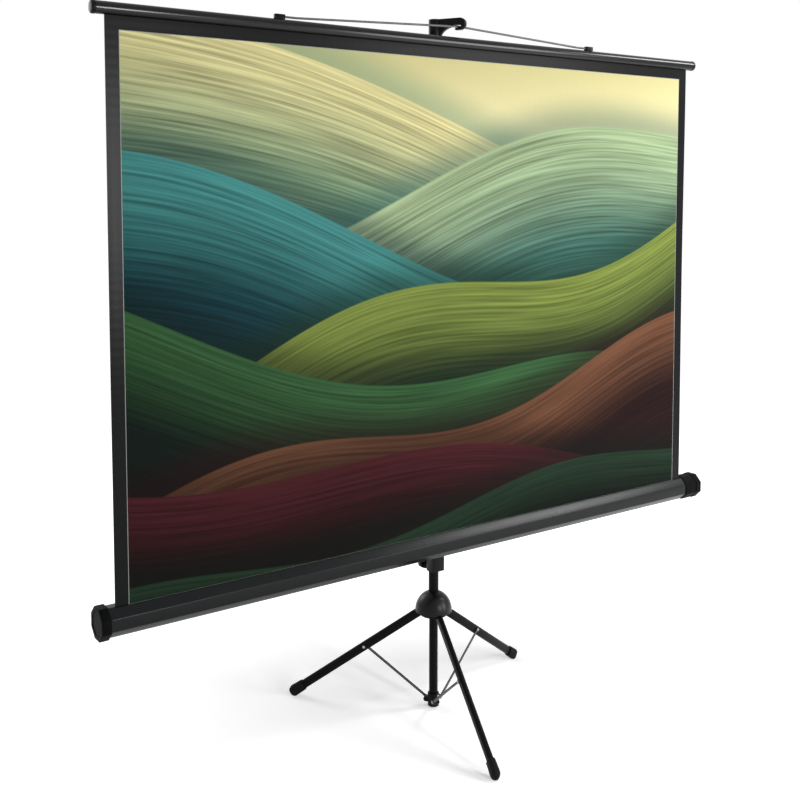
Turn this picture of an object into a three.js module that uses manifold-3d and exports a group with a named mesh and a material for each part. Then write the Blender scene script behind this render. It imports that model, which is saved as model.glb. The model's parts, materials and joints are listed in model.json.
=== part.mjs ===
// A tripod projection screen: a spring-roller screen in an octagonal case, carried on a telescoping mast
// over a folding base of three legs. Millimetres, +Z up, the picture faces -Y, the mast stands upright.
import * as THREE from 'three';
import { mergeVertices } from 'three/addons/utils/BufferGeometryUtils.js';
import Module from 'manifold-3d';

const wasm = await Module();
wasm.setup();

// Clearance and facets
const FIT = 0.3; // gap between pieces that touch, seat or slide
const OVERSHOOT = 1; // of a cutter past the faces that it opens
const SIDES = 24; // facets of tubes
const PIN_SIDES = 14; // facets of pins, rivets and screws
const EYE_SIDES = 12; // facets of the braces' eyes and lugs
const CORNER_STEPS = 4; // in a round corner of a leg or a foot

// Picture and fabric
const PICTURE_WIDTH = 1630;
const PICTURE_HEIGHT = 1148; // from the case to the top border
const SIDE_BORDER = 30;
const TOP_BORDER = 28;
const FABRIC_THICKNESS = 0.6;
const FABRIC_OFFSET = 60; // mast axis to the fabric, forwards

// Octagonal case, its slot and its end caps
const CASE_FLATS = 60; // across flats
const CASE_WALL = 1.6;
const CASE_Z = 438.5; // height of the case's middle
const SLOT_WIDTH = 3.2;
const SLOT_LIP = 1.3; // in front of the slot
const CAP_WALL = 3.2;
const CAP_END = 3;
const CAP_CHAMFER = 2.5;
const LEFT_CAP_LENGTH = 20;
const RIGHT_CAP_LENGTH = 63; // the spring end is the longer one
const LEFT_MARGIN = 15; // bare case between fabric and cap
const RIGHT_MARGIN = 8;

// Roller and its spring
const ROLLER_RADIUS = 14;
const ROLLER_WALL = 1.2;
const ROLLER_END_GAP = 9; // from a plug's flange to the cap
const ROLL_BUILD = 1; // turns of fabric left on the roller
const PLUG_DEPTH = 26;
const PLUG_FLANGE = 2;
const SHAFT_RADIUS = 4; // left pin and spring shaft
const PIN_ENGAGEMENT = 16; // of the left pin in its plug
const SHAFT_BOSS_RADIUS = 8;
const SHAFT_BOSS_LENGTH = 15;
const SHAFT_SEAT = 12; // of the shaft in its boss
const SHAFT_LENGTH = 350;
const SPRING_BUILD = 3;
const SPRING_LENGTH = 230;
const SPRING_END_GAP = 10; // from the right plug

// Top slat, its end plugs and the hem rod in its groove
const SLAT_RADIUS = 13;
const SLAT_WALL = 1.5;
const GROOVE_WIDTH = 2.4;
const SLAT_MARGIN = 19; // of the tube past the fabric, at either end
const SLAT_PLUG_HEAD = 8;
const SLAT_PLUG_DEPTH = 12;
const SLAT_PLUG_LIP = 0.5; // of the head over the tube
const SLAT_PLUG_STEPS = 3; // in the head's round edge
const HEM_RADIUS = 3;

// Bail over the slat
const WIRE_RADIUS = 2.5;
const BAIL_HALF_SPAN = 460;
const BAIL_RISE = 26.5; // of the wire's middle over the slat
const BAIL_APEX_X = 30;
const BAIL_APEX_LEAN = 4; // behind the fabric
const CLIP_LENGTH = 24;
const CLIP_WIDTH = 10;
const CLIP_HEIGHT = 10;
const CLIP_SOCKET = 18;
const WIRE_SEAT = 16; // of the wire in a clip
const WIRE_STUB = 30; // straight out of a clip
const WIRE_STEPS = 36;
const WIRE_SIDES = 8;

// Mast, lower rod and extension tube
const MAST_RADIUS = 12.5;
const TUBE_WALL = 1.2;
const MAST_TOP = 1110;
const ROD_TOP = 430;
const EXTENSION_BOTTOM = 960;
const BUSH_FOOT = 8;
const BUSH_DEPTH = 15;

// Clamp knobs
const KNOB_RADIUS = 19;
const KNOB_LOBES = 5;
const KNOB_LOBE_DEPTH = 1.6;
const KNOB_THICKNESS = 14;
const KNOB_STEM = 2; // between the boss and the knob
const KNOB_STEM_RADIUS = 8;
const KNOB_POINTS = 40;
const KNOB_SCREW_RADIUS = 3;
const KNOB_BOSS_RADIUS = 9;
const KNOB_BOSS_REACH = 27; // from the mast axis

// Collar at the top of the mast
const COLLAR_WALL = 6;
const MAST_COLLAR_LENGTH = 38;
const MAST_COLLAR_LIP = 8;
const MAST_KNOB_DROP = 15; // below the mast's top

// Carriage that holds the case on the mast
const CARRIAGE_BOTTOM = 354;
const CARRIAGE_WALL = 5.5;
const PLATE_WIDTH = 84;
const PLATE_HEIGHT = 44;
const PLATE_THICKNESS = 3;
const CARRIAGE_KNOB_RISE = 12; // over the carriage's foot
const CASE_SCREW_SPACING = 64;
const SCREW_RADIUS = 2;
const SCREW_HEAD_RADIUS = 4.5;
const SCREW_HEAD = 3;
const SCREW_REACH = 1.2; // past the wall that it holds

// Hub and its dome
const HINGE_RADIUS = 28; // mast axis to a leg's hinge pin
const HINGE_Z = 250;
const HUB_RADIUS = 34;
const HUB_BOTTOM = 240;
const HUB_HEIGHT = 28;
const HUB_WALL = 2; // round the mast behind a leg
const HINGE_PIN_RADIUS = 2.9;
const HINGE_PIN_LENGTH = 36;
const DOME_RADIUS = 46;
const DOME_BOTTOM = 252;
const DOME_HEIGHT = 49;
const DOME_WALL = 2.5;
const DOME_STEPS = 9;
const DOME_SLOT_ROOM = 1; // over a leg

// Legs and rubber feet
const TRIPOD_TURN = 15.4; // degrees, first leg from +X
const LEG_SPREAD = 54.7; // degrees, a leg from upright
const LEG_DEPTH = 22;
const LEG_WIDTH = 13.5;
const LEG_CORNER = 6;
const LEG_TAIL = 6.5; // past the hinge pin
const LEG_SIDE_ROOM = 0.5;
const FOOT_WALL = 2.7;
const FOOT_LENGTH = 40;
const FOOT_SOLE = 8;
const FOOT_CORNER = 7;
const FOOT_TRIM = 4; // ground flat at the sole's lower edge

// Braces and the collar that they meet on the rod
const BRACE_ALONG_LEG = 184;
const BRACE_THICKNESS = 3;
const BRACE_DEPTH = 6;
const BRACE_EYE = 5;
const BRACE_SIDE_GAP = 0.4;
const RIVET_RADIUS = 2;
const RIVET_HEAD_RADIUS = 3.6;
const RIVET_HEAD = 1.6;
const SPREADER_BOTTOM = 4;
const SPREADER_HEIGHT = 32;
const SPREADER_WALL = 3;
const SPREADER_FLOOR = 3.7;
const LUG_RADIUS = 6;
const LUG_Z = 20;
const LUG_REACH = 19; // mast axis to a brace's lower pivot
const SPREADER_RIVET_DROP = 5;

// Gooseneck hook
const HOOK_WIDTH = 12;
const HOOK_SOCKET_WALL = 3.7;
const HOOK_SOCKET_DEPTH = 32;
const HOOK_SLOT = 10;
const HOOK_SLOT_REACH = 4; // past the wire
const HOOK_WIRE_ROOM = 0.7; // under the wire, which falls away to both sides
const HOOK_ARM = 14;
const HOOK_LIP = 5;
const HOOK_LIP_LENGTH = 12;
const HOOK_LIP_NUB = 2;
const HOOK_GUSSET = 22;
const HOOK_STEPS = 10; // in a bend of the hook

// Sizes that follow from the ones above
const OCTAGON_SIDE = Math.tan(Math.PI / 8); // half a side, for a flat at 1
const OCTAGON_CORNER = 1 / Math.cos(Math.PI / 8);
const FABRIC_HALF = PICTURE_WIDTH / 2 + SIDE_BORDER;
const FABRIC_Y = -FABRIC_OFFSET;
const CASE_HALF = CASE_FLATS / 2;
const CASE_Y = FABRIC_Y + CASE_HALF * OCTAGON_SIDE - SLOT_LIP - SLOT_WIDTH / 2;
const CASE_BACK = CASE_Y + CASE_HALF;
const LEFT_END = -FABRIC_HALF - LEFT_MARGIN - LEFT_CAP_LENGTH;
const RIGHT_END = FABRIC_HALF + RIGHT_MARGIN + RIGHT_CAP_LENGTH;
const ROLL_RADIUS = ROLLER_RADIUS + FIT + ROLL_BUILD;
const ROLLER_Y = FABRIC_Y + FABRIC_THICKNESS / 2 + FIT + ROLL_RADIUS;
const PLUG_RADIUS = ROLLER_RADIUS - ROLLER_WALL - FIT;
const ROLLER_LEFT = LEFT_END + CAP_END + ROLLER_END_GAP + PLUG_FLANGE + FIT;
const ROLLER_RIGHT = RIGHT_END - CAP_END - SHAFT_BOSS_LENGTH - ROLLER_END_GAP - PLUG_FLANGE - FIT;
const SLAT_Z = CASE_Z + CASE_HALF + PICTURE_HEIGHT + TOP_BORDER + SLAT_RADIUS;
const GROOVE_HALF = GROOVE_WIDTH / 2;
const GROOVE_DROP = Math.sqrt((SLAT_RADIUS - SLAT_WALL) ** 2 - GROOVE_HALF ** 2);
const HEM_Z = SLAT_Z - GROOVE_DROP + Math.sqrt(HEM_RADIUS ** 2 - GROOVE_HALF ** 2) + FIT;
const FABRIC_TOP = HEM_Z - HEM_RADIUS - FIT;
const WIRE_SOCKET_Z = SLAT_Z + SLAT_RADIUS + FIT + CLIP_HEIGHT / 2;
const BAIL_APEX_Y = FABRIC_Y + BAIL_APEX_LEAN;
const BAIL_APEX_Z = SLAT_Z + SLAT_RADIUS + BAIL_RISE;
const ROD_RADIUS = MAST_RADIUS - TUBE_WALL - FIT;
const MAST_BORE = MAST_RADIUS + FIT; // of what is held on the mast
const ROD_BORE = ROD_RADIUS + FIT;
const PLATE_FRONT = CASE_BACK + FIT;
const PLATE_BACK = PLATE_FRONT + PLATE_THICKNESS;
const CARRIAGE_TOP = CASE_Z + PLATE_HEIGHT / 2;
const CARRIAGE_RADIUS = MAST_RADIUS + CARRIAGE_WALL;
const CARRIAGE_KNOB_Z = CARRIAGE_BOTTOM + CARRIAGE_KNOB_RISE;
const MAST_KNOB_Z = MAST_TOP - MAST_KNOB_DROP;
const SPREAD = THREE.MathUtils.degToRad(LEG_SPREAD);
const FOOT_HALF = LEG_DEPTH / 2 + FIT + FOOT_WALL;
const LEG_REACH = (HINGE_Z - FOOT_HALF * Math.sin(SPREAD) + FOOT_TRIM) / Math.cos(SPREAD);
const LEG_SLOT = LEG_WIDTH + 2 * LEG_SIDE_ROOM;
const BRACE_INNER = -LEG_WIDTH / 2 - BRACE_SIDE_GAP; // on a leg's clockwise side, seen from above
const BRACE_OUTER = BRACE_INNER - BRACE_THICKNESS;
const BRACE_TOP_R = HINGE_RADIUS + BRACE_ALONG_LEG * Math.sin(SPREAD);
const BRACE_TOP_Z = HINGE_Z - BRACE_ALONG_LEG * Math.cos(SPREAD);
const CASE_SCREWS = [
  { name: 'left', x: -CASE_SCREW_SPACING / 2 },
  { name: 'right', x: CASE_SCREW_SPACING / 2 },
];
const BRACE_LENGTH = Math.hypot(BRACE_TOP_R - LUG_REACH, BRACE_TOP_Z - LUG_Z);
const BRACE_TILT = Math.atan2(BRACE_TOP_R - LUG_REACH, BRACE_TOP_Z - LUG_Z);
const LEGS = ['right', 'left', 'front'].map((name, index) => ({
  name,
  azimuth: THREE.MathUtils.degToRad(TRIPOD_TURN + (index * 360) / 3),
}));

// Finishes
const finish = (color, roughness, metalness) =>
  new THREE.MeshStandardMaterial({ color, roughness, metalness });
const BLACK_PAINT = finish(0x161719, 0.45, 0.2);
const CASE_PAINT = finish(0x1d2022, 0.42, 0.3);
const BLACK_PLASTIC = finish(0x121314, 0.5, 0);
const BLACK_RUBBER = finish(0x0e0e0f, 0.85, 0);
const BARE_STEEL = finish(0x9a9c9e, 0.35, 1);
const SCREEN_CLOTH = finish(0x4a6a5c, 0.85, 0);
const ROLLER_METAL = finish(0xa8abad, 0.4, 1);

// Solids

/** A closed geometry with shared vertices and faces that point out. */
function closed(geometry) {
  geometry.deleteAttribute('normal');
  geometry.deleteAttribute('uv');
  const shared = mergeVertices(geometry, 1e-4);
  const place = shared.attributes.position;
  const corners = [0, 1, 2].map(() => new THREE.Vector3());
  const triangles = [];
  let volume = 0;
  for (let i = 0; i < shared.index.count; i += 3) {
    const face = [0, 1, 2].map((k) => shared.index.getX(i + k));
    if (new Set(face).size < 3) continue;
    face.forEach((vertex, k) => corners[k].fromBufferAttribute(place, vertex));
    volume += corners[0].dot(corners[1].clone().cross(corners[2]));
    triangles.push(face);
  }
  if (volume < 0) triangles.forEach((face) => face.reverse());
  const result = new THREE.BufferGeometry();
  result.setAttribute('position', place.clone());
  result.setIndex(triangles.flat());
  return result;
}

/** The solid that a closed geometry bounds. */
function solid(geometry) {
  const tight = closed(geometry);
  return new wasm.Manifold(
    new wasm.Mesh({
      numProp: 3,
      vertProperties: new Float32Array(tight.attributes.position.array),
      triVerts: new Uint32Array(tight.index.array),
    }),
  );
}

/** The first geometry joined with more ones. */
function join(first, ...more) {
  return geometryOf(more.reduce((sum, next) => sum.add(solid(next)), solid(first)));
}

/** The first geometry with the others cut out of it. */
function cut(first, ...tools) {
  return geometryOf(tools.reduce((rest, tool) => rest.subtract(solid(tool)), solid(first)));
}

/** The geometry of a solid. */
function geometryOf(body) {
  const mesh = body.getMesh();
  const geometry = new THREE.BufferGeometry();
  geometry.setAttribute('position', new THREE.BufferAttribute(new Float32Array(mesh.vertProperties), 3));
  geometry.setIndex(new THREE.BufferAttribute(new Uint32Array(mesh.triVerts), 1));
  return geometry;
}

/** A round bar on the Z axis from one height to another. */
function bar(radius, from, to, sides = SIDES) {
  const geometry = new THREE.CylinderGeometry(radius, radius, to - from, sides);
  return geometry.rotateX(Math.PI / 2).translate(0, 0, (from + to) / 2);
}

/** A tube on the Z axis from one height to another. */
function tube(outer, inner, from, to, sides = SIDES) {
  return turned([[inner, from], [outer, from], [outer, to], [inner, to], [inner, from]], sides);
}

/** A profile of [radius, height] points turned about the Z axis. */
function turned(profile, sides = SIDES, start = 0) {
  const points = profile.map(([radius, height]) => new THREE.Vector2(radius, height));
  return new THREE.LatheGeometry(points, sides, start).rotateX(Math.PI / 2);
}

/** A block between two corners. */
function block([x0, y0, z0], [x1, y1, z1]) {
  const geometry = new THREE.BoxGeometry(x1 - x0, y1 - y0, z1 - z0);
  return geometry.translate((x0 + x1) / 2, (y0 + y1) / 2, (z0 + z1) / 2);
}

/** A shape drawn in Y and Z, drawn out along X. */
function alongScreen(shape, from, to, curveSegments = SIDES) {
  const geometry = new THREE.ExtrudeGeometry(shape, { depth: to - from, bevelEnabled: false, curveSegments });
  const turn = new THREE.Matrix4().makeBasis(
    new THREE.Vector3(0, 1, 0),
    new THREE.Vector3(0, 0, 1),
    new THREE.Vector3(1, 0, 0),
  );
  return geometry.applyMatrix4(turn).translate(from, 0, 0);
}

/** Turns a geometry from the Z axis to the X axis. */
const toX = (geometry) => geometry.rotateY(Math.PI / 2);

/** Turns a geometry from the Z axis to the Y axis. */
const toY = (geometry) => geometry.rotateX(-Math.PI / 2);

/** A rectangle with round corners, centred, as a shape or as the outline of a hole. */
function roundedRectangle(Outline, width, height, corner) {
  const outline = new Outline();
  const x = width / 2;
  const y = height / 2;
  const r = Math.min(corner, x, y);
  outline.moveTo(x, r - y);
  outline.lineTo(x, y - r);
  outline.absarc(x - r, y - r, r, 0, Math.PI / 2);
  outline.lineTo(r - x, y);
  outline.absarc(r - x, y - r, r, Math.PI / 2, Math.PI);
  outline.lineTo(-x, r - y);
  outline.absarc(r - x, r - y, r, Math.PI, 1.5 * Math.PI);
  outline.lineTo(x - r, -y);
  outline.absarc(x - r, r - y, r, 1.5 * Math.PI, 2 * Math.PI);
  return outline;
}

/** Adds a named piece to a group. */
function add(group, name, geometry, material) {
  const mesh = new THREE.Mesh(closed(geometry), material);
  mesh.name = name;
  group.add(mesh);
  return mesh;
}

/** A rivet or screw on the Z axis: a shank from one height to another, with a head at either end or both. */
function fastener(radius, headRadius, head, from, to, heads) {
  const pieces = [bar(radius, from, to, PIN_SIDES)];
  if (heads.includes('low')) pieces.push(bar(headRadius, from - head, from, PIN_SIDES));
  if (heads.includes('high')) pieces.push(bar(headRadius, to, to + head, PIN_SIDES));
  return join(...pieces);
}

/** A closed outline of points round a centre, with a radius for each angle. */
function ring(count, radiusAt) {
  const points = Array.from({ length: count }, (_, i) => {
    const angle = (i / count) * 2 * Math.PI;
    return new THREE.Vector2(radiusAt(angle) * Math.cos(angle), radiusAt(angle) * Math.sin(angle));
  });
  return new THREE.Shape(points);
}

/** A lobed clamp knob with its screw, pointing along Y from the screw's tip. */
function knob(tip) {
  const wave = KNOB_LOBE_DEPTH / 2;
  const outline = ring(KNOB_POINTS, (angle) => KNOB_RADIUS - wave + wave * Math.cos(KNOB_LOBES * angle));
  const head = KNOB_BOSS_REACH + KNOB_STEM;
  const grip = new THREE.ExtrudeGeometry(outline, { depth: KNOB_THICKNESS, bevelEnabled: false });
  const stem = bar(KNOB_STEM_RADIUS, KNOB_BOSS_REACH + FIT, head + KNOB_STEM, PIN_SIDES);
  const screw = bar(KNOB_SCREW_RADIUS, tip, head + KNOB_STEM, PIN_SIDES);
  return toY(join(grip.translate(0, 0, head), stem, screw));
}

/** The boss and the hole that a knob's screw goes through, at a height on the mast. */
const knobBoss = (height) => toY(bar(KNOB_BOSS_RADIUS, MAST_RADIUS, KNOB_BOSS_REACH)).translate(0, 0, height);
const knobHole = (height) =>
  toY(bar(KNOB_SCREW_RADIUS + FIT, 0, KNOB_BOSS_REACH + OVERSHOOT, PIN_SIDES)).translate(0, 0, height);

/** The lower rod and the collar with a lug for each brace. */
function buildBase(group) {
  const top = SPREADER_BOTTOM + SPREADER_HEIGHT;
  const rodBottom = SPREADER_BOTTOM + SPREADER_FLOOR + FIT;
  const bossRadius = ROD_BORE + SPREADER_WALL;
  const rivetTurn = LEGS[0].azimuth + Math.PI / 2;
  const rivetHole = (radius) =>
    toX(bar(radius, -bossRadius - OVERSHOOT, bossRadius + OVERSHOOT, PIN_SIDES))
      .rotateZ(rivetTurn)
      .translate(0, 0, top - SPREADER_RIVET_DROP);
  const lugs = LEGS.flatMap(({ azimuth }) => {
    const half = LEG_WIDTH / 2;
    const web = block([0, -half, LUG_Z - LUG_RADIUS], [LUG_REACH, half, LUG_Z + LUG_RADIUS]);
    const eye = toY(bar(LUG_RADIUS, -half, half, EYE_SIDES)).translate(LUG_REACH, 0, LUG_Z);
    return [web.rotateZ(azimuth), eye.rotateZ(azimuth)];
  });
  const collar = join(bar(bossRadius, SPREADER_BOTTOM, top), ...lugs);
  const bore = bar(ROD_BORE, SPREADER_BOTTOM + SPREADER_FLOOR, top + OVERSHOOT);
  const rod = tube(ROD_RADIUS, ROD_RADIUS - TUBE_WALL, rodBottom, ROD_TOP);
  const rivetEnd = bossRadius + FIT;
  const bothHeads = ['low', 'high'];
  const rivet = toX(fastener(RIVET_RADIUS, RIVET_HEAD_RADIUS, RIVET_HEAD, -rivetEnd, rivetEnd, bothHeads));
  add(group, 'spreader_rod', cut(rod, rivetHole(RIVET_RADIUS + FIT)), BLACK_PAINT);
  add(group, 'spreader_collar', cut(collar, bore, rivetHole(RIVET_RADIUS + FIT)), BLACK_PLASTIC);
  add(group, 'collar_rivet', rivet.rotateZ(rivetTurn).translate(0, 0, top - SPREADER_RIVET_DROP), BARE_STEEL);
}

/** Places a group on a leg's hinge, with the leg running down its own -Z. */
function onLeg(azimuth) {
  const plane = new THREE.Group();
  const hinge = new THREE.Group();
  plane.rotation.z = azimuth;
  hinge.position.set(HINGE_RADIUS, 0, HINGE_Z);
  hinge.rotation.y = -SPREAD;
  plane.add(hinge);
  return { plane, hinge };
}

/** Turns a geometry drawn on a leg into the frame of the mast. */
function fromLeg(geometry, azimuth) {
  return geometry.rotateY(-SPREAD).translate(HINGE_RADIUS, 0, HINGE_Z).rotateZ(azimuth);
}

/** The mast, the hub with its dome and hinge pins, and the collar with the mast's clamp boss. */
function buildMast(group) {
  const hubTop = HUB_BOTTOM + HUB_HEIGHT;
  const mast = tube(MAST_RADIUS, MAST_RADIUS - TUBE_WALL, HUB_BOTTOM, MAST_TOP);
  add(group, 'mast_tube', cut(mast, knobHole(MAST_KNOB_Z)), BLACK_PAINT);

  const slots = LEGS.map(({ azimuth }) =>
    block(
      [MAST_BORE + HUB_WALL, -LEG_SLOT / 2, HUB_BOTTOM - OVERSHOOT],
      [HUB_RADIUS + OVERSHOOT, LEG_SLOT / 2, hubTop + OVERSHOOT],
    ).rotateZ(azimuth),
  );
  const hingePin = (radius, azimuth) =>
    toY(bar(radius, -HINGE_PIN_LENGTH / 2, HINGE_PIN_LENGTH / 2, PIN_SIDES))
      .translate(HINGE_RADIUS, 0, HINGE_Z)
      .rotateZ(azimuth);
  const pinHoles = LEGS.map(({ azimuth }) => hingePin(HINGE_PIN_RADIUS + FIT, azimuth));
  const hub = tube(HUB_RADIUS, MAST_BORE, HUB_BOTTOM, hubTop);
  add(group, 'hub_core', cut(hub, ...slots, ...pinHoles), BLACK_PLASTIC);
  LEGS.forEach(({ name, azimuth }) => {
    add(group, `leg_pin_${name}`, hingePin(HINGE_PIN_RADIUS, azimuth), BARE_STEEL);
  });

  const arc = (radius, height, from, to) => {
    const points = [];
    for (let i = 0; i <= DOME_STEPS; i += 1) {
      const angle = from + ((to - from) * i) / DOME_STEPS;
      points.push([radius * Math.cos(angle), DOME_BOTTOM + height * Math.sin(angle)]);
    }
    return points;
  };
  const innerRadius = DOME_RADIUS - DOME_WALL;
  const outerArc = arc(DOME_RADIUS, DOME_HEIGHT, 0, Math.acos(MAST_BORE / DOME_RADIUS));
  const innerArc = arc(innerRadius, DOME_HEIGHT - DOME_WALL, Math.acos(MAST_BORE / innerRadius), 0);
  const dome = turned([...outerArc, ...innerArc, outerArc[0]], SIDES);
  const legRooms = LEGS.map(({ azimuth }) => {
    const room = block(
      [-2 * DOME_RADIUS, -LEG_SLOT / 2, -2 * DOME_RADIUS],
      [LEG_DEPTH / 2 + DOME_SLOT_ROOM, LEG_SLOT / 2, -LEG_TAIL],
    );
    return fromLeg(room, azimuth);
  });
  add(group, 'hub_dome', cut(dome, ...legRooms), BLACK_PLASTIC);

  const lipTop = MAST_TOP + FIT + MAST_COLLAR_LIP;
  const collarBottom = lipTop - MAST_COLLAR_LENGTH;
  const collar = join(bar(MAST_BORE + COLLAR_WALL, collarBottom, lipTop), knobBoss(MAST_KNOB_Z));
  const seat = bar(MAST_BORE, collarBottom - OVERSHOOT, MAST_TOP + FIT);
  const lipBore = bar(ROD_BORE, collarBottom, lipTop + OVERSHOOT);
  add(group, 'mast_collar', cut(collar, seat, lipBore, knobHole(MAST_KNOB_Z)), BLACK_PLASTIC);
}

/** A leg with its rubber foot and the rivet that its brace swings on. */
function buildLeg({ name, azimuth }, group) {
  const { plane, hinge } = onLeg(azimuth);
  const section = roundedRectangle(THREE.Shape, LEG_DEPTH, LEG_WIDTH, LEG_CORNER);
  const hollow = 2 * TUBE_WALL;
  section.holes.push(
    roundedRectangle(THREE.Path, LEG_DEPTH - hollow, LEG_WIDTH - hollow, LEG_CORNER - TUBE_WALL),
  );
  const legEnd = LEG_REACH - FOOT_SOLE - FIT;
  const leg = new THREE.ExtrudeGeometry(section, {
    depth: legEnd + LEG_TAIL,
    bevelEnabled: false,
    curveSegments: CORNER_STEPS,
  }).translate(0, 0, -legEnd);
  const across = LEG_WIDTH / 2 + OVERSHOOT;
  const pinHole = toY(bar(HINGE_PIN_RADIUS + FIT, -across, across, PIN_SIDES));
  const rivetHole = toY(bar(RIVET_RADIUS + FIT, -across, across, PIN_SIDES));
  rivetHole.translate(0, 0, -BRACE_ALONG_LEG);
  add(hinge, `leg_tube_${name}`, cut(leg, pinHole, rivetHole), BLACK_PAINT);

  const footSection = roundedRectangle(
    THREE.Shape,
    2 * FOOT_HALF,
    LEG_WIDTH + 2 * (FIT + FOOT_WALL),
    FOOT_CORNER,
  );
  const foot = new THREE.ExtrudeGeometry(footSection, {
    depth: FOOT_LENGTH,
    bevelEnabled: false,
    curveSegments: CORNER_STEPS,
  }).translate(0, 0, -LEG_REACH);
  const pocketSection = roundedRectangle(
    THREE.Shape,
    LEG_DEPTH + 2 * FIT,
    LEG_WIDTH + 2 * FIT,
    LEG_CORNER + FIT,
  );
  const pocket = new THREE.ExtrudeGeometry(pocketSection, {
    depth: FOOT_LENGTH,
    bevelEnabled: false,
    curveSegments: CORNER_STEPS,
  }).translate(0, 0, FOOT_SOLE - LEG_REACH);
  const reach = 2 * LEG_REACH;
  const floor = block([-reach, -FOOT_LENGTH, -FOOT_LENGTH], [reach, FOOT_LENGTH, 0]);
  floor.translate(-HINGE_RADIUS, 0, -HINGE_Z).rotateY(SPREAD);
  add(hinge, `leg_foot_${name}`, cut(foot, pocket, floor), BLACK_RUBBER);

  const rivet = toY(
    fastener(
      RIVET_RADIUS,
      RIVET_HEAD_RADIUS,
      RIVET_HEAD,
      BRACE_OUTER - FIT,
      LEG_WIDTH / 2 + FIT,
      ['low', 'high'],
    ),
  );
  add(hinge, `leg_rivet_${name}`, rivet.translate(0, 0, -BRACE_ALONG_LEG), BARE_STEEL);
  group.add(plane);
}

/** A brace from a leg's rivet down to its lug, with the rivet head at its lower end. */
function buildBrace({ name, azimuth }, group) {
  const plane = new THREE.Group();
  const brace = new THREE.Group();
  plane.rotation.z = azimuth;
  brace.position.set(BRACE_TOP_R, 0, BRACE_TOP_Z);
  brace.rotation.y = BRACE_TILT;
  plane.add(brace);
  const strip = block([-BRACE_DEPTH / 2, BRACE_OUTER, -BRACE_LENGTH], [BRACE_DEPTH / 2, BRACE_INNER, 0]);
  const eye = (height) => toY(bar(BRACE_EYE, BRACE_OUTER, BRACE_INNER, EYE_SIDES)).translate(0, 0, height);
  const holeSpan = [BRACE_OUTER - OVERSHOOT, BRACE_INNER + OVERSHOOT];
  const hole = (height) => toY(bar(RIVET_RADIUS + FIT, ...holeSpan, PIN_SIDES)).translate(0, 0, height);
  const body = cut(join(strip, eye(0), eye(-BRACE_LENGTH)), hole(0), hole(-BRACE_LENGTH));
  add(brace, `leg_brace_${name}`, body, BARE_STEEL);
  const rivet = toY(
    fastener(RIVET_RADIUS, RIVET_HEAD_RADIUS, RIVET_HEAD, BRACE_OUTER - FIT, BRACE_INNER, ['low']),
  );
  add(brace, `brace_rivet_${name}`, rivet.translate(0, 0, -BRACE_LENGTH), BARE_STEEL);
  group.add(plane);
}

/** The carriage on the mast and the screws that hold the case to its plate. */
function buildCarriage(group) {
  const plate = block(
    [-PLATE_WIDTH / 2, PLATE_FRONT, CARRIAGE_TOP - PLATE_HEIGHT],
    [PLATE_WIDTH / 2, PLATE_BACK, CARRIAGE_TOP],
  );
  const saddle = block([-CARRIAGE_RADIUS, PLATE_FRONT, CARRIAGE_BOTTOM], [CARRIAGE_RADIUS, 0, CARRIAGE_TOP]);
  const sleeve = bar(CARRIAGE_RADIUS, CARRIAGE_BOTTOM, CARRIAGE_TOP);
  const bore = bar(MAST_BORE, CARRIAGE_BOTTOM - OVERSHOOT, CARRIAGE_TOP + OVERSHOOT);
  const holeSpan = [PLATE_FRONT - OVERSHOOT, PLATE_BACK + OVERSHOOT];
  const screwHoles = CASE_SCREWS.map(({ x }) =>
    toY(bar(SCREW_RADIUS + FIT, ...holeSpan, PIN_SIDES)).translate(x, 0, CASE_Z),
  );
  const carriage = join(sleeve, saddle, plate, knobBoss(CARRIAGE_KNOB_Z));
  add(group, 'carriage', cut(carriage, bore, knobHole(CARRIAGE_KNOB_Z), ...screwHoles), BLACK_PLASTIC);
  const tip = CASE_BACK - CASE_WALL - SCREW_REACH;
  CASE_SCREWS.forEach(({ name, x }) => {
    const screw = fastener(SCREW_RADIUS, SCREW_HEAD_RADIUS, SCREW_HEAD, tip, PLATE_BACK + FIT, ['high']);
    add(group, `case_screw_${name}`, toY(screw).translate(x, 0, CASE_Z), BARE_STEEL);
  });
}

/** The corners of an octagon with flats to the top and the front, from top back round to top front. */
function octagon(half) {
  const side = half * OCTAGON_SIDE;
  return [
    [side, half],
    [half, side],
    [half, -side],
    [side, -half],
    [-side, -half],
    [-half, -side],
    [-half, side],
    [-side, half],
  ];
}

/** An octagonal cup that closes one end of the case, with its floor at 0 and its mouth up. */
function capCup(length) {
  const outer = (CASE_HALF + FIT + CAP_WALL) * OCTAGON_CORNER;
  const inner = (CASE_HALF + FIT) * OCTAGON_CORNER;
  const profile = [
    [0, 0],
    [outer - CAP_CHAMFER, 0],
    [outer, CAP_CHAMFER],
    [outer, length],
    [inner, length],
    [inner, CAP_END],
    [0, CAP_END],
  ];
  return turned(profile, 8, Math.PI / 8);
}

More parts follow.
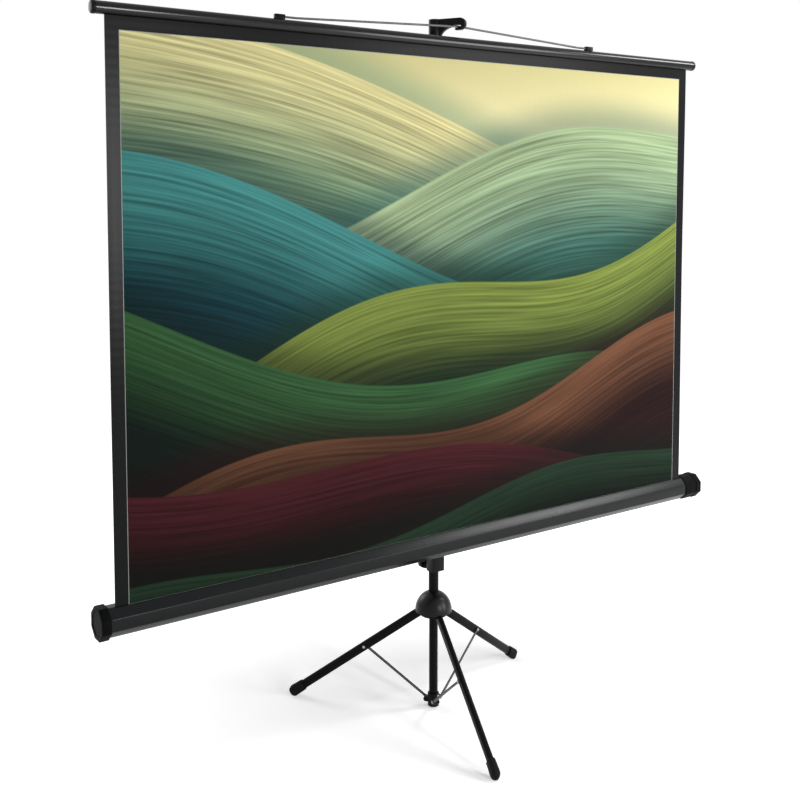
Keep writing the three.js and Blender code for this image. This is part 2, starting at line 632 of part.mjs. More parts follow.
/** The case with its slot, its end caps, the spring and its shaft. */
function buildCase(group) {
  const slotMiddle = FABRIC_Y - CASE_Y;
  const slotFront = slotMiddle - SLOT_WIDTH / 2;
  const slotBack = slotMiddle + SLOT_WIDTH / 2;
  const innerHalf = CASE_HALF - CASE_WALL;
  const outline = [
    [slotBack, CASE_HALF],
    ...octagon(CASE_HALF),
    [slotFront, CASE_HALF],
    [slotFront, innerHalf],
    ...octagon(innerHalf).reverse(),
    [slotBack, innerHalf],
  ];
  const section = new THREE.Shape(outline.map(([y, z]) => new THREE.Vector2(y, z)));
  const shellLeft = LEFT_END + CAP_END + FIT;
  const shellRight = RIGHT_END - CAP_END - FIT;
  const shell = alongScreen(section, shellLeft, shellRight).translate(0, CASE_Y, CASE_Z);
  const holeSpan = [CASE_BACK - CASE_WALL - OVERSHOOT, CASE_BACK + OVERSHOOT];
  const screwHoles = CASE_SCREWS.map(({ x }) =>
    toY(bar(SCREW_RADIUS + FIT, ...holeSpan, PIN_SIDES)).translate(x, 0, CASE_Z),
  );
  add(group, 'case_shell', cut(shell, ...screwHoles), CASE_PAINT);

  const onAxis = (geometry) => toX(geometry).translate(0, ROLLER_Y, CASE_Z);
  const pinEnd = LEFT_END + CAP_END + ROLLER_END_GAP + PIN_ENGAGEMENT;
  const pin = onAxis(bar(SHAFT_RADIUS, LEFT_END + CAP_END / 2, pinEnd, PIN_SIDES));
  const leftCup = toX(capCup(LEFT_CAP_LENGTH)).translate(LEFT_END, CASE_Y, CASE_Z);
  add(group, 'case_cap_left', join(leftCup, pin), BLACK_PLASTIC);

  const bossEnd = RIGHT_END - CAP_END - SHAFT_BOSS_LENGTH;
  const seatEnd = bossEnd + SHAFT_SEAT;
  const rightCup = toX(capCup(RIGHT_CAP_LENGTH)).rotateZ(Math.PI).translate(RIGHT_END, CASE_Y, CASE_Z);
  const boss = onAxis(bar(SHAFT_BOSS_RADIUS, bossEnd, RIGHT_END - CAP_END / 2));
  const seat = onAxis(bar(SHAFT_RADIUS + FIT, bossEnd - OVERSHOOT, seatEnd + FIT, PIN_SIDES));
  add(group, 'case_cap_right', cut(join(rightCup, boss), seat), BLACK_PLASTIC);

  const shaft = onAxis(bar(SHAFT_RADIUS, seatEnd - SHAFT_LENGTH, seatEnd, PIN_SIDES));
  add(group, 'spring_shaft', shaft, BARE_STEEL);
  const springRight = ROLLER_RIGHT - PLUG_DEPTH - SPRING_END_GAP;
  const springBore = SHAFT_RADIUS + FIT;
  const spring = tube(springBore + SPRING_BUILD, springBore, springRight - SPRING_LENGTH, springRight);
  add(group, 'return_spring', onAxis(spring), BARE_STEEL);
}

/** The roller with its end plugs and the turns of fabric left on it. */
function buildRoller(group) {
  const onAxis = (geometry) => toX(geometry).translate(0, ROLLER_Y, CASE_Z);
  const roller = tube(ROLLER_RADIUS, ROLLER_RADIUS - ROLLER_WALL, ROLLER_LEFT, ROLLER_RIGHT);
  add(group, 'roller_tube', onAxis(roller), ROLLER_METAL);
  const plug = join(
    tube(PLUG_RADIUS, SHAFT_RADIUS + FIT, -PLUG_FLANGE, PLUG_DEPTH, PIN_SIDES),
    tube(ROLLER_RADIUS, SHAFT_RADIUS + FIT, -PLUG_FLANGE - FIT, -FIT, PIN_SIDES),
  );
  const leftPlug = toX(plug.clone()).translate(ROLLER_LEFT, ROLLER_Y, CASE_Z);
  const rightPlug = toX(plug).rotateZ(Math.PI).translate(ROLLER_RIGHT, ROLLER_Y, CASE_Z);
  add(group, 'roller_plug_left', leftPlug, BLACK_PLASTIC);
  add(group, 'roller_plug_right', rightPlug, BLACK_PLASTIC);
  const roll = tube(ROLL_RADIUS, ROLLER_RADIUS + FIT, -FABRIC_HALF, FABRIC_HALF);
  add(group, 'fabric_roll', onAxis(roll), SCREEN_CLOTH);
}

/** The fabric from its roll, out through the slot and up into the slat's groove. */
function buildFabric(group) {
  const half = FABRIC_THICKNESS / 2;
  const sheet = block([-FABRIC_HALF, FABRIC_Y - half, CASE_Z], [FABRIC_HALF, FABRIC_Y + half, FABRIC_TOP]);
  add(group, 'screen_fabric', sheet, SCREEN_CLOTH);
}

/** The extension tube with the bush at its foot and the hook at its head. */
function buildExtension(group) {
  const reach = Math.hypot(BAIL_APEX_X, BAIL_APEX_Y);
  const turn = Math.atan2(BAIL_APEX_Y, BAIL_APEX_X);
  const lipTop = BAIL_APEX_Z - WIRE_RADIUS - HOOK_WIRE_ROOM;
  const slotMiddle = lipTop + HOOK_SLOT / 2;
  const slotTop = lipTop + HOOK_SLOT;
  const top = slotTop + HOOK_ARM;
  const lipBottom = lipTop - HOOK_LIP;
  const slotEnd = reach + HOOK_SLOT_REACH;
  const lipBack = slotEnd - HOOK_LIP_LENGTH;
  const tipRadius = (top - lipBottom) / 2;
  const socketBottom = slotTop - HOOK_SOCKET_DEPTH;
  const socketRadius = ROD_BORE + HOOK_SOCKET_WALL;

  const profile = new THREE.Shape();
  profile.moveTo(0, socketBottom);
  profile.lineTo(socketRadius, socketBottom);
  profile.lineTo(socketRadius + HOOK_GUSSET, slotTop);
  profile.lineTo(slotEnd, slotTop);
  profile.absarc(slotEnd, slotMiddle, HOOK_SLOT / 2, Math.PI / 2, -Math.PI / 2, true);
  profile.lineTo(lipBack + HOOK_LIP_NUB, lipTop);
  profile.lineTo(lipBack, lipTop + HOOK_LIP_NUB);
  profile.lineTo(lipBack, lipBottom);
  profile.lineTo(slotEnd, lipBottom);
  profile.absarc(slotEnd, lipBottom + tipRadius, tipRadius, -Math.PI / 2, Math.PI / 2);
  profile.lineTo(0, top);
  const upright = new THREE.Matrix4().makeBasis(
    new THREE.Vector3(1, 0, 0),
    new THREE.Vector3(0, 0, 1),
    new THREE.Vector3(0, -1, 0),
  );
  const arm = new THREE.ExtrudeGeometry(profile, {
    depth: HOOK_WIDTH,
    bevelEnabled: false,
    curveSegments: HOOK_STEPS,
  });
  arm.applyMatrix4(upright).translate(0, HOOK_WIDTH / 2, 0);
  const pinZ = socketBottom + HOOK_SOCKET_DEPTH / 2;
  const pinEnd = socketRadius + FIT;
  const holeEnd = pinEnd + OVERSHOOT;
  const pinHole = () => toY(bar(RIVET_RADIUS + FIT, -holeEnd, holeEnd, PIN_SIDES)).translate(0, 0, pinZ);
  const hook = cut(
    join(bar(socketRadius, socketBottom, top), arm),
    bar(ROD_BORE, socketBottom - OVERSHOOT, slotTop + FIT),
    pinHole(),
  );
  const pin = toY(fastener(RIVET_RADIUS, RIVET_HEAD_RADIUS, RIVET_HEAD, -pinEnd, pinEnd, ['low', 'high']));
  add(group, 'hook_arm', hook.rotateZ(turn), BLACK_PLASTIC);
  add(group, 'hook_rivet', pin.translate(0, 0, pinZ).rotateZ(turn), BARE_STEEL);

  const extension = tube(ROD_RADIUS, ROD_RADIUS - TUBE_WALL, EXTENSION_BOTTOM, slotTop);
  add(group, 'extension_tube', cut(extension, pinHole().rotateZ(turn)), BLACK_PAINT);
  const bush = join(
    bar(ROD_RADIUS, EXTENSION_BOTTOM - FIT - BUSH_FOOT, EXTENSION_BOTTOM - FIT),
    bar(ROD_RADIUS - TUBE_WALL - FIT, EXTENSION_BOTTOM - FIT - OVERSHOOT, EXTENSION_BOTTOM + BUSH_DEPTH),
  );
  add(group, 'extension_bush', bush, BLACK_PLASTIC);
}

/** The slat with its plugs and hem rod, and the bail on its two clips. */
function buildSlat(group) {
  const slatLeft = -FABRIC_HALF - SLAT_MARGIN;
  const slatRight = FABRIC_HALF + SLAT_MARGIN;
  const innerRadius = SLAT_RADIUS - SLAT_WALL;
  const outerHalf = Math.asin(GROOVE_HALF / SLAT_RADIUS);
  const innerHalf = Math.asin(GROOVE_HALF / innerRadius);
  const section = new THREE.Shape();
  section.absarc(0, 0, SLAT_RADIUS, outerHalf - Math.PI / 2, 1.5 * Math.PI - outerHalf);
  section.absarc(0, 0, innerRadius, 1.5 * Math.PI - innerHalf, innerHalf - Math.PI / 2, true);
  const slat = alongScreen(section, slatLeft, slatRight).translate(0, FABRIC_Y, SLAT_Z);
  add(group, 'top_slat', slat, BLACK_PAINT);

  const plugRadius = innerRadius - FIT;
  const headRadius = SLAT_RADIUS + SLAT_PLUG_LIP;
  const plugInside = FIT - SLAT_PLUG_DEPTH;
  const rise = SLAT_PLUG_HEAD / 2;
  const plugProfile = [[0, plugInside], [plugRadius, plugInside], [plugRadius, FIT], [headRadius, FIT]];
  for (let i = 0; i <= SLAT_PLUG_STEPS; i += 1) {
    const angle = (i / SLAT_PLUG_STEPS) * (Math.PI / 2);
    plugProfile.push([headRadius - rise + rise * Math.cos(angle), FIT + rise + rise * Math.sin(angle)]);
  }
  plugProfile.push([0, FIT + SLAT_PLUG_HEAD]);
  const rightPlug = toX(turned(plugProfile)).translate(slatRight, FABRIC_Y, SLAT_Z);
  const leftPlug = toX(turned(plugProfile)).rotateZ(Math.PI).translate(slatLeft, FABRIC_Y, SLAT_Z);
  add(group, 'slat_plug_left', leftPlug, BLACK_PLASTIC);
  add(group, 'slat_plug_right', rightPlug, BLACK_PLASTIC);
  const hemRod = toX(bar(HEM_RADIUS, -FABRIC_HALF, FABRIC_HALF, PIN_SIDES)).translate(0, FABRIC_Y, HEM_Z);
  add(group, 'hem_rod', hemRod, BARE_STEEL);

  const clipTop = SLAT_Z + SLAT_RADIUS + FIT + CLIP_HEIGHT;
  const clipInner = BAIL_HALF_SPAN - CLIP_LENGTH / 2;
  [-1, 1].forEach((side) => {
    const clip = block(
      [clipInner, FABRIC_Y - CLIP_WIDTH / 2, SLAT_Z + SLAT_RADIUS / 2],
      [clipInner + CLIP_LENGTH, FABRIC_Y + CLIP_WIDTH / 2, clipTop],
    );
    const saddle = toX(bar(SLAT_RADIUS + FIT, 0, 2 * BAIL_HALF_SPAN)).translate(0, FABRIC_Y, SLAT_Z);
    const socket = toX(bar(WIRE_RADIUS + FIT, clipInner - OVERSHOOT, clipInner + CLIP_SOCKET, PIN_SIDES));
    const geometry = cut(clip, saddle, socket.translate(0, FABRIC_Y, WIRE_SOCKET_Z));
    const mirror = new THREE.Matrix4().makeScale(side, 1, 1);
    add(group, `bail_clip_${side < 0 ? 'left' : 'right'}`, geometry.applyMatrix4(mirror), BLACK_PAINT);
  });

  const foot = (x) => new THREE.Vector3(x, FABRIC_Y, WIRE_SOCKET_Z);
  const apex = new THREE.Vector3(BAIL_APEX_X, BAIL_APEX_Y, BAIL_APEX_Z);
  const route = new THREE.CurvePath();
  const seated = clipInner + WIRE_SEAT;
  const bend = clipInner - WIRE_STUB;
  const stops = [foot(-seated), foot(-bend), apex, foot(bend), foot(seated)];
  stops.slice(1).forEach((stop, index) => route.add(new THREE.LineCurve3(stops[index], stop)));
  const wireSection = ring(WIRE_SIDES, () => WIRE_RADIUS);
  const wire = new THREE.ExtrudeGeometry(wireSection, { steps: WIRE_STEPS, extrudePath: route });
  add(group, 'bail_wire', wire, BLACK_PAINT);
}

const model = new THREE.Group();
buildBase(model);
buildMast(model);
LEGS.forEach((leg) => buildLeg(leg, model));
LEGS.forEach((leg) => buildBrace(leg, model));
add(model, 'mast_knob', knob(ROD_RADIUS + FIT).translate(0, 0, MAST_KNOB_Z), BLACK_PLASTIC);
buildCarriage(model);
add(model, 'carriage_knob', knob(MAST_RADIUS + FIT).translate(0, 0, CARRIAGE_KNOB_Z), BLACK_PLASTIC);
buildCase(model);
buildRoller(model);
buildFabric(model);
buildExtension(model);
buildSlat(model);

// The origin lies on the floor, under the middle of the whole object
const extent = new THREE.Box3().setFromObject(model, true);
const middle = extent.getCenter(new THREE.Vector3());
model.position.set(-middle.x, -middle.y, -extent.min.z);

export default model;
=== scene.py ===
"""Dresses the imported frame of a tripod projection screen: fabric, case, top bar, mast, tripod and studio.

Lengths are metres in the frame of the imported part: +Z up, the picture faces -Y, the floor lies at Z 0.
"""

from __future__ import annotations

import json
import logging
import math
from collections.abc import Callable, Sequence
from dataclasses import dataclass
from enum import Enum

import bmesh
import bpy
from mathutils import Matrix, Vector
from mathutils.geometry import interpolate_bezier

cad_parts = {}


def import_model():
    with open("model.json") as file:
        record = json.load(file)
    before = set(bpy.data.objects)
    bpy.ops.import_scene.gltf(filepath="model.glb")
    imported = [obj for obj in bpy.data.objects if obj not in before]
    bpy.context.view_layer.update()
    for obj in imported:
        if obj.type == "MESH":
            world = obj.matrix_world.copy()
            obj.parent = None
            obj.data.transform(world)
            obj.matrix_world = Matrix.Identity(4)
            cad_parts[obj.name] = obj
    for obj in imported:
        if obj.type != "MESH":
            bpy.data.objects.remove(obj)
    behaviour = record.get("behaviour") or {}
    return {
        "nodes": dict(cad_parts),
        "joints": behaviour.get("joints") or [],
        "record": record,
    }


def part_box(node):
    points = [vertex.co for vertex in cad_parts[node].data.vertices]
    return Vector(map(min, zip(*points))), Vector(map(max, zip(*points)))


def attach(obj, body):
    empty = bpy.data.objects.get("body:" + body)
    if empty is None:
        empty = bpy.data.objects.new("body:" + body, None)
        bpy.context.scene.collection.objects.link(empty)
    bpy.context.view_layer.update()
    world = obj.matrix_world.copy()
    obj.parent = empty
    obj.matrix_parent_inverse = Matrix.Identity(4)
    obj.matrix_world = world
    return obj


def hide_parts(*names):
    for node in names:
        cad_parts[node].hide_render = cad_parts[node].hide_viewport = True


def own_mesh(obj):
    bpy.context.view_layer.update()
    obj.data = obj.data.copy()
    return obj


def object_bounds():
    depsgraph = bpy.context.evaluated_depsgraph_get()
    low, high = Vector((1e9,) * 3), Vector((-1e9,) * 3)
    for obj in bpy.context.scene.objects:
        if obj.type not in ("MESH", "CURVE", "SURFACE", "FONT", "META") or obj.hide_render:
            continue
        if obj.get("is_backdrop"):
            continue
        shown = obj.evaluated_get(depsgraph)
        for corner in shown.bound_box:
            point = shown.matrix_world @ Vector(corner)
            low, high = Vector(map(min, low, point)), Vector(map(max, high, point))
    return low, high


LOG = logging.getLogger("projection_screen")

MM = 0.001
FIT = 0.3 * MM  # gap between pieces that touch, as in the frame
WELD = 1e-6  # vertices nearer than this become one
SHARP = math.radians(30)  # an edge that turns more than this is rounded and shaded as an edge
FLAT = math.radians(1)  # faces that turn less than this are one face
ROUND_STEPS = 64  # facets of a turned piece


class Slot(Enum):
    """The record's material slots."""

    PAINT = "black_paint"
    CASE = "case_paint"
    PLASTIC = "black_plastic"
    RUBBER = "black_rubber"
    STEEL = "bare_steel"
    ROLLER = "roller_metal"
    CLOTH = "screen_cloth"


class Leg(Enum):
    """The tripod's legs, as the frame names them."""

    RIGHT = "right"
    LEFT = "left"
    FRONT = "front"


class Side(Enum):
    """The two ends of the screen, with the direction that points out of each."""

    LEFT = -1
    RIGHT = 1

    @property
    def word(self) -> str:
        """The side's name in the names of pieces."""
        return self.name.lower()


def linear(colour: str) -> tuple[float, float, float, float]:
    """Turns an sRGB hex colour into linear light.

    Args:
        colour: Six hex digits after a hash sign.

    Returns:
        Red, green, blue and an alpha of 1.
    """
    channels = [int(colour[start : start + 2], 16) / 255 for start in (1, 3, 5)]
    return (*[c / 12.92 if c <= 0.04045 else ((c + 0.055) / 1.055) ** 2.4 for c in channels], 1.0)


def add_node(
    tree: bpy.types.NodeTree,
    kind: str,
    inputs: dict[str | int, object] | None = None,
    **settings: object,
) -> bpy.types.Node:
    """Adds a node with its settings, values and links.

    Args:
        tree: The node tree.
        kind: Blender's name for the type of node.
        inputs: A value, or an output to link, for each input socket by name or number.
        **settings: Attributes of the node.

    Returns:
        The new node.
    """
    node = tree.nodes.new(kind)
    for name, value in settings.items():
        setattr(node, name, value)
    for socket, value in (inputs or {}).items():
        if isinstance(value, bpy.types.NodeSocket):
            tree.links.new(value, node.inputs[socket])
        else:
            node.inputs[socket].default_value = value
    return node


def blank_material(name: str) -> tuple[bpy.types.Material, bpy.types.NodeTree]:
    """A new material and its empty node tree.

    Args:
        name: The material's name.

    Returns:
        The material and its tree.
    """
    material = bpy.data.materials.new(name)
    material.use_nodes = True
    material.node_tree.nodes.clear()
    return material, material.node_tree


@dataclass(frozen=True)
class Finish:
    """A painted, moulded or plated surface: patches of tone, drifting gloss and a fine grain.

    The real grain is under a millimetre, so each is drawn a few times coarser, to show at all.
    """

    name: str
    colour: str
    tone: str  # what the colour drifts to in patches
    patch: float  # size of a patch
    grain: float  # size of the grain
    relief: float  # height of the grain
    roughness: float
    drift: float  # how much rougher the dullest patch is
    metallic: float = 0.0
    specular: float = 0.5
    draw: tuple[float, float, float] = (1.0, 1.0, 1.0)  # how much the grain is drawn out along each axis

    def material(self) -> bpy.types.Material:
        """Builds the finish's material."""
        material, tree = blank_material(self.name)
        place = add_node(tree, "ShaderNodeTexCoord").outputs["Object"]
        patch = add_node(tree, "ShaderNodeTexNoise", {"Vector": place, "Scale": 1 / self.patch, "Detail": 4.0})
        stretched = add_node(
            tree, "ShaderNodeMapping", {"Vector": place, "Scale": tuple(1 / pull for pull in self.draw)}
        )
        grain = add_node(
            tree,
            "ShaderNodeTexNoise",
            {"Vector": stretched.outputs[0], "Scale": 1 / self.grain, "Detail": 2.0},
        )
        tone = add_node(
            tree,
            "ShaderNodeMix",
            {0: patch.outputs[0], 6: linear(self.colour), 7: linear(self.tone)},
            data_type="RGBA",
        )
        gloss = add_node(
            tree,
            "ShaderNodeMapRange",
            {"Value": patch.outputs[0], "To Min": self.roughness, "To Max": self.roughness + self.drift},
        )
        bump = add_node(tree, "ShaderNodeBump", {"Height": grain.outputs[0], "Distance": self.relief})
        shader = add_node(
            tree,
            "ShaderNodeBsdfPrincipled",
            {
                "Base Color": tone.outputs[2],
                "Metallic": self.metallic,
                "Roughness": gloss.outputs[0],
                "Specular IOR Level": self.specular,
                "Normal": bump.outputs[0],
            },
        )
        add_node(tree, "ShaderNodeOutputMaterial", {"Surface": shader.outputs[0]})
        return material


# Satin powder coat on steel tube: black, with a narrow streak of light and a faint orange peel
POWDER_COAT = Finish(
    "powder_coat_on_steel", "#0b0b0c", "#101011", 60 * MM, 2.5 * MM, 0.04 * MM, 0.30, 0.08, specular=0.06
)
# Gloss enamel on the slat: black with a soft bright streak
GLOSS_ENAMEL = Finish(
    "gloss_enamel_on_steel", "#060707", "#090a0a", 80 * MM, 2.5 * MM, 0.01 * MM, 0.16, 0.04, specular=0.24
)
# The same coat on the extruded case, a little glossier, so that its flats stay apart in tone
CASE_COAT = Finish(
    "powder_coat_on_aluminium", "#0d0f10", "#111314", 90 * MM, 3 * MM, 0.04 * MM, 0.25, 0.06, specular=0.14
)
# Dark grey lacquer on the spring wire
WIRE_LACQUER = Finish(
    "lacquer_on_wire", "#343536", "#3e3f40", 30 * MM, 2 * MM, 0.02 * MM, 0.25, 0.08, specular=0.5
)
# Moulded ABS with a spark-eroded grain: satin, black to the edges
MOULDED_ABS = Finish(
    "moulded_abs", "#08090a", "#0d0e0e", 40 * MM, 1.5 * MM, 0.05 * MM, 0.30, 0.12, specular=0.10
)
# The same on the case's ends, with a deeper grain that leaves them matt
MATT_ABS = Finish(
    "matt_moulded_abs", "#070808", "#0b0c0c", 40 * MM, 2 * MM, 0.08 * MM, 0.48, 0.10, specular=0.03
)
# The same from a polished mould, on the dome
POLISHED_ABS = Finish(
    "polished_abs", "#08090a", "#0c0d0d", 40 * MM, 2 * MM, 0.005 * MM, 0.32, 0.05, specular=0.17
)
# Moulded rubber: dull, with a greyish bloom
MOULDED_RUBBER = Finish(
    "moulded_rubber", "#0c0c0c", "#131312", 18 * MM, 1.5 * MM, 0.10 * MM, 0.60, 0.15, specular=0.10
)
# Zinc-plated steel: bright, with cloudy plating
ZINC_PLATE = Finish(
    "zinc_plated_steel", "#b4b6b8", "#8d9093", 12 * MM, 2 * MM, 0.02 * MM, 0.22, 0.18, metallic=1.0
)
# Cold-rolled steel strip: darker than the rivets
STEEL_STRIP = Finish(
    "cold_rolled_steel", "#505254", "#3f4143", 25 * MM, 2 * MM, 0.02 * MM, 0.20, 0.12, metallic=1.0
)
# Mill-finish aluminium tube: grey, with fine draw lines along the screen
MILL_ALUMINIUM = Finish(
    "mill_finish_aluminium",
    "#c3c5c7",
    "#a9acaf",
    30 * MM,
    2 * MM,
    0.02 * MM,
    0.35,
    0.10,
    metallic=1.0,
    draw=(40.0, 1.0, 1.0),
)
# Coated cloth, black side: matt, with the weave just showing through the coat
BLACK_BACKING = Finish(
    "black_cloth_backing", "#1e1f20", "#262728", 120 * MM, 3 * MM, 0.12 * MM, 0.70, 0.10, specular=0.25
)

SLOT_FINISH = {
    Slot.PAINT: POWDER_COAT,
    Slot.CASE: CASE_COAT,
    Slot.PLASTIC: MOULDED_ABS,
    Slot.RUBBER: MOULDED_RUBBER,
    Slot.STEEL: ZINC_PLATE,
    Slot.ROLLER: MILL_ALUMINIUM,
    Slot.CLOTH: BLACK_BACKING,
}


@dataclass(frozen=True)
class Ribbon:
    """One flowing band of the picture: the line of its crest and its two colours.

    Heights are shares of the picture's height, waves are counts across its width.
    """

    height: float  # of the crest in the picture's middle
    tilt: float  # rise of the crest across the picture
    swell: float  # height of its waves
    waves: float
    phase: float
    depth: float  # how far below the crest the foot's colour is reached
    crest: str
    foot: str


@dataclass(frozen=True)
class PictureCloth:
    """Matt coated cloth inside a black border, with a projected picture of flowing bands painted into its colour."""

    width: float  # of the whole sheet
    height: float
    side: float  # border at either side
    bottom: float  # cloth below the picture, inside the case
    top: float  # border at the top
    line: float = 1.3 * MM  # white cloth left bare round the picture
    thread: float = 3 * MM  # the real 0.5 mm weave is too fine to show
    streak: tuple[float, float] = (420 * MM, 7 * MM)  # length and width of a streak in a band
    edge: float = 0.003  # softness of a crest
    shade: float = 0.09  # how far a band's shadow reaches above its crest
    rim: float = 0.016  # width of the light along a crest
    ribbons: tuple[Ribbon, ...] = (
        Ribbon(0.86, -0.30, 0.05, 0.7, 0.10, 0.26, "#cfc78f", "#6d8a6c"),
        Ribbon(0.74, 0.26, 0.07, 0.9, 0.62, 0.30, "#93a67f", "#355f57"),
        Ribbon(0.60, -0.24, 0.08, 0.8, 0.22, 0.26, "#3f7f7c", "#0d2f36"),
        Ribbon(0.50, 0.34, 0.06, 1.1, 0.85, 0.24, "#6f7d3a", "#14291a"),
        Ribbon(0.37, -0.26, 0.07, 0.9, 0.45, 0.22, "#2f5230", "#081410"),
        Ribbon(0.26, 0.24, 0.05, 1.2, 0.05, 0.20, "#64422f", "#1d0c0d"),
        Ribbon(0.15, -0.16, 0.04, 1.0, 0.70, 0.16, "#3d171b", "#0e0506"),
        Ribbon(0.05, 0.10, 0.03, 1.3, 0.30, 0.12, "#1b2d1f", "#070d0a"),
    )

    @property
    def picture_size(self) -> tuple[float, float]:
        """Width and height of the picture."""
        return self.width - 2 * self.side, self.height - self.bottom - self.top

    def material(self) -> bpy.types.Material:
        """Builds the cloth's material on the sheet's own UV map, with the projected picture painted into its base
        colour.
        """
        material, tree = blank_material("cloth_with_painted_projection")
        wide, tall = self.picture_size
        spot = add_node(tree, "ShaderNodeTexCoord").outputs["UV"]
        in_metres = add_node(
            tree, "ShaderNodeMapping", {"Vector": spot, "Scale": (self.width, self.height, 1.0)}
        ).outputs[0]
        framed = add_node(
            tree,
            "ShaderNodeMapping",
            {
                "Vector": in_metres,
                "Location": (-self.side / wide, -self.bottom / tall, 0),
                "Scale": (1 / wide, 1 / tall, 1),
            },
        ).outputs[0]
        across, up = add_node(tree, "ShaderNodeSeparateXYZ", {0: framed}).outputs[:2]
        # painted light: the projector's picture is painted into the cloth's base colour
        picture = self._picture(tree, across, up)
        inside = self._within(tree, across, up, 0.0)
        near = self._within(tree, across, up, self.line)
        bare = add_node(
            tree, "ShaderNodeMix", {0: near, 6: linear("#0b0c0d"), 7: linear("#8f918b")}, data_type="RGBA"
        )
        colour = add_node(
            tree, "ShaderNodeMix", {0: inside, 6: bare.outputs[2], 7: picture}, data_type="RGBA"
        )
        gloss = add_node(tree, "ShaderNodeMapRange", {"Value": inside, "To Min": 0.28, "To Max": 0.80})
        bump = add_node(
            tree, "ShaderNodeBump", {"Height": self._weave(tree, in_metres), "Distance": 0.05 * MM}
        )
        shader = add_node(
            tree,
            "ShaderNodeBsdfPrincipled",
            {
                "Base Color": colour.outputs[2],
                "Roughness": gloss.outputs[0],
                "Specular IOR Level": 0.08,
                "Normal": bump.outputs[0],
            },
        )
        add_node(tree, "ShaderNodeOutputMaterial", {"Surface": shader.outputs[0]})
        return material

    def _within(
        self,
        tree: bpy.types.NodeTree,
        across: bpy.types.NodeSocket,
        up: bpy.types.NodeSocket,
        margin: float,
    ) -> bpy.types.NodeSocket:
        """A mask that is 1 on the picture and on a margin round it.

        Args:
            tree: The node tree.
            across: Place across the picture, 0 to 1.
            up: Place up the picture, 0 to 1.
            margin: The margin's width.

        Returns:
            The mask's socket.
        """
        masks = []
        for place, size in zip((across, up), self.picture_size):
            offset = add_node(tree, "ShaderNodeMath", {0: place, 1: 0.5}, operation="SUBTRACT")
            away = add_node(tree, "ShaderNodeMath", {0: offset.outputs[0]}, operation="ABSOLUTE")
            mask = add_node(
                tree, "ShaderNodeMath", {0: away.outputs[0], 1: 0.5 + margin / size}, operation="LESS_THAN"
            )
            masks.append(mask.outputs[0])
        return add_node(tree, "ShaderNodeMath", {0: masks[0], 1: masks[1]}, operation="MULTIPLY").outputs[0]

    def _weave(self, tree: bpy.types.NodeTree, in_metres: bpy.types.NodeSocket) -> bpy.types.NodeSocket:
        """The height of the weave: threads both ways.

        Args:
            tree: The node tree.
            in_metres: Place on the sheet.

        Returns:
            The height's socket.
        """
        threads = [
            add_node(
                tree,
                "ShaderNodeTexWave",
                {"Vector": in_metres, "Scale": 1 / (self.thread * 20), "Distortion": 0.4},
                bands_direction=direction,
            ).outputs[1]
            for direction in ("X", "Y")
        ]
        return add_node(tree, "ShaderNodeMath", {0: threads[0], 1: threads[1]}, operation="ADD").outputs[0]

    def _picture(
        self, tree: bpy.types.NodeTree, across: bpy.types.NodeSocket, up: bpy.types.NodeSocket
    ) -> bpy.types.NodeSocket:
        """The projected picture, painted into the cloth's colour: a pale ground with bands that flow over each other
        towards a dark foot.

        Args:
            tree: The node tree.
            across: Place across the picture, 0 to 1.
            up: Place up the picture, 0 to 1.

        Returns:
            The colour's socket.
        """
        glow = add_node(tree, "ShaderNodeMapRange", {"Value": up, "From Min": 0.6, "From Max": 1.0})
        colour = add_node(
            tree,
            "ShaderNodeMix",
            {0: glow.outputs[0], 6: linear("#f0e8bd"), 7: linear("#b9b27f")},
            data_type="RGBA",
        ).outputs[2]
        for ribbon in self.ribbons:
            below = self._below_crest(tree, ribbon, across, up)
            shade = add_node(
                tree,
                "ShaderNodeMapRange",
                {"Value": below, "From Min": -self.shade, "From Max": 0.0, "To Max": 0.6},
                interpolation_type="SMOOTHSTEP",
            )
            behind = add_node(
                tree,
                "ShaderNodeMix",
                {0: shade.outputs[0], 6: colour, 7: linear(ribbon.foot)},
                data_type="RGBA",
            )
            mask = add_node(tree, "ShaderNodeMapRange", {"Value": below, "From Max": self.edge})
            band = self._band(tree, ribbon, across, below)
            colour = add_node(
                tree, "ShaderNodeMix", {0: mask.outputs[0], 6: behind.outputs[2], 7: band}, data_type="RGBA"
            ).outputs[2]
        return colour

    def _band(
        self,
        tree: bpy.types.NodeTree,
        ribbon: Ribbon,
        across: bpy.types.NodeSocket,
        below: bpy.types.NodeSocket,
    ) -> bpy.types.NodeSocket:
        """A band's own colour: light along its crest, darker towards its foot, streaked along its flow.

        Args:
            tree: The node tree.
            ribbon: The band.
            across: Place across the picture, 0 to 1.
            below: Distance below the crest.

        Returns:
            The colour's socket.
        """
        fade = add_node(
            tree,
            "ShaderNodeMapRange",
            {"Value": below, "From Max": ribbon.depth},
            interpolation_type="SMOOTHSTEP",
        )
        plain = add_node(
            tree,
            "ShaderNodeMix",
            {0: fade.outputs[0], 6: linear(ribbon.crest), 7: linear(ribbon.foot)},
            data_type="RGBA",
        )
        flow = add_node(tree, "ShaderNodeCombineXYZ", {0: across, 1: below, 2: ribbon.phase})
        scale = [size / streak for size, streak in zip(self.picture_size, self.streak)]
        stretched = add_node(
            tree, "ShaderNodeMapping", {"Vector": flow.outputs[0], "Scale": (*scale, 40.0)}
        )
        streaks = add_node(
            tree, "ShaderNodeTexNoise", {"Vector": stretched.outputs[0], "Scale": 1.0, "Detail": 5.0}
        )
        tone = add_node(
            tree,
            "ShaderNodeMapRange",
            {"Value": streaks.outputs[0], "From Min": 0.3, "From Max": 0.7, "To Min": 0.45, "To Max": 1.25},
        )
        streaked = add_node(
            tree,
            "ShaderNodeMix",
            {0: 1.0, 6: plain.outputs[2], 7: tone.outputs[0]},
            data_type="RGBA",
            blend_type="MULTIPLY",
        )
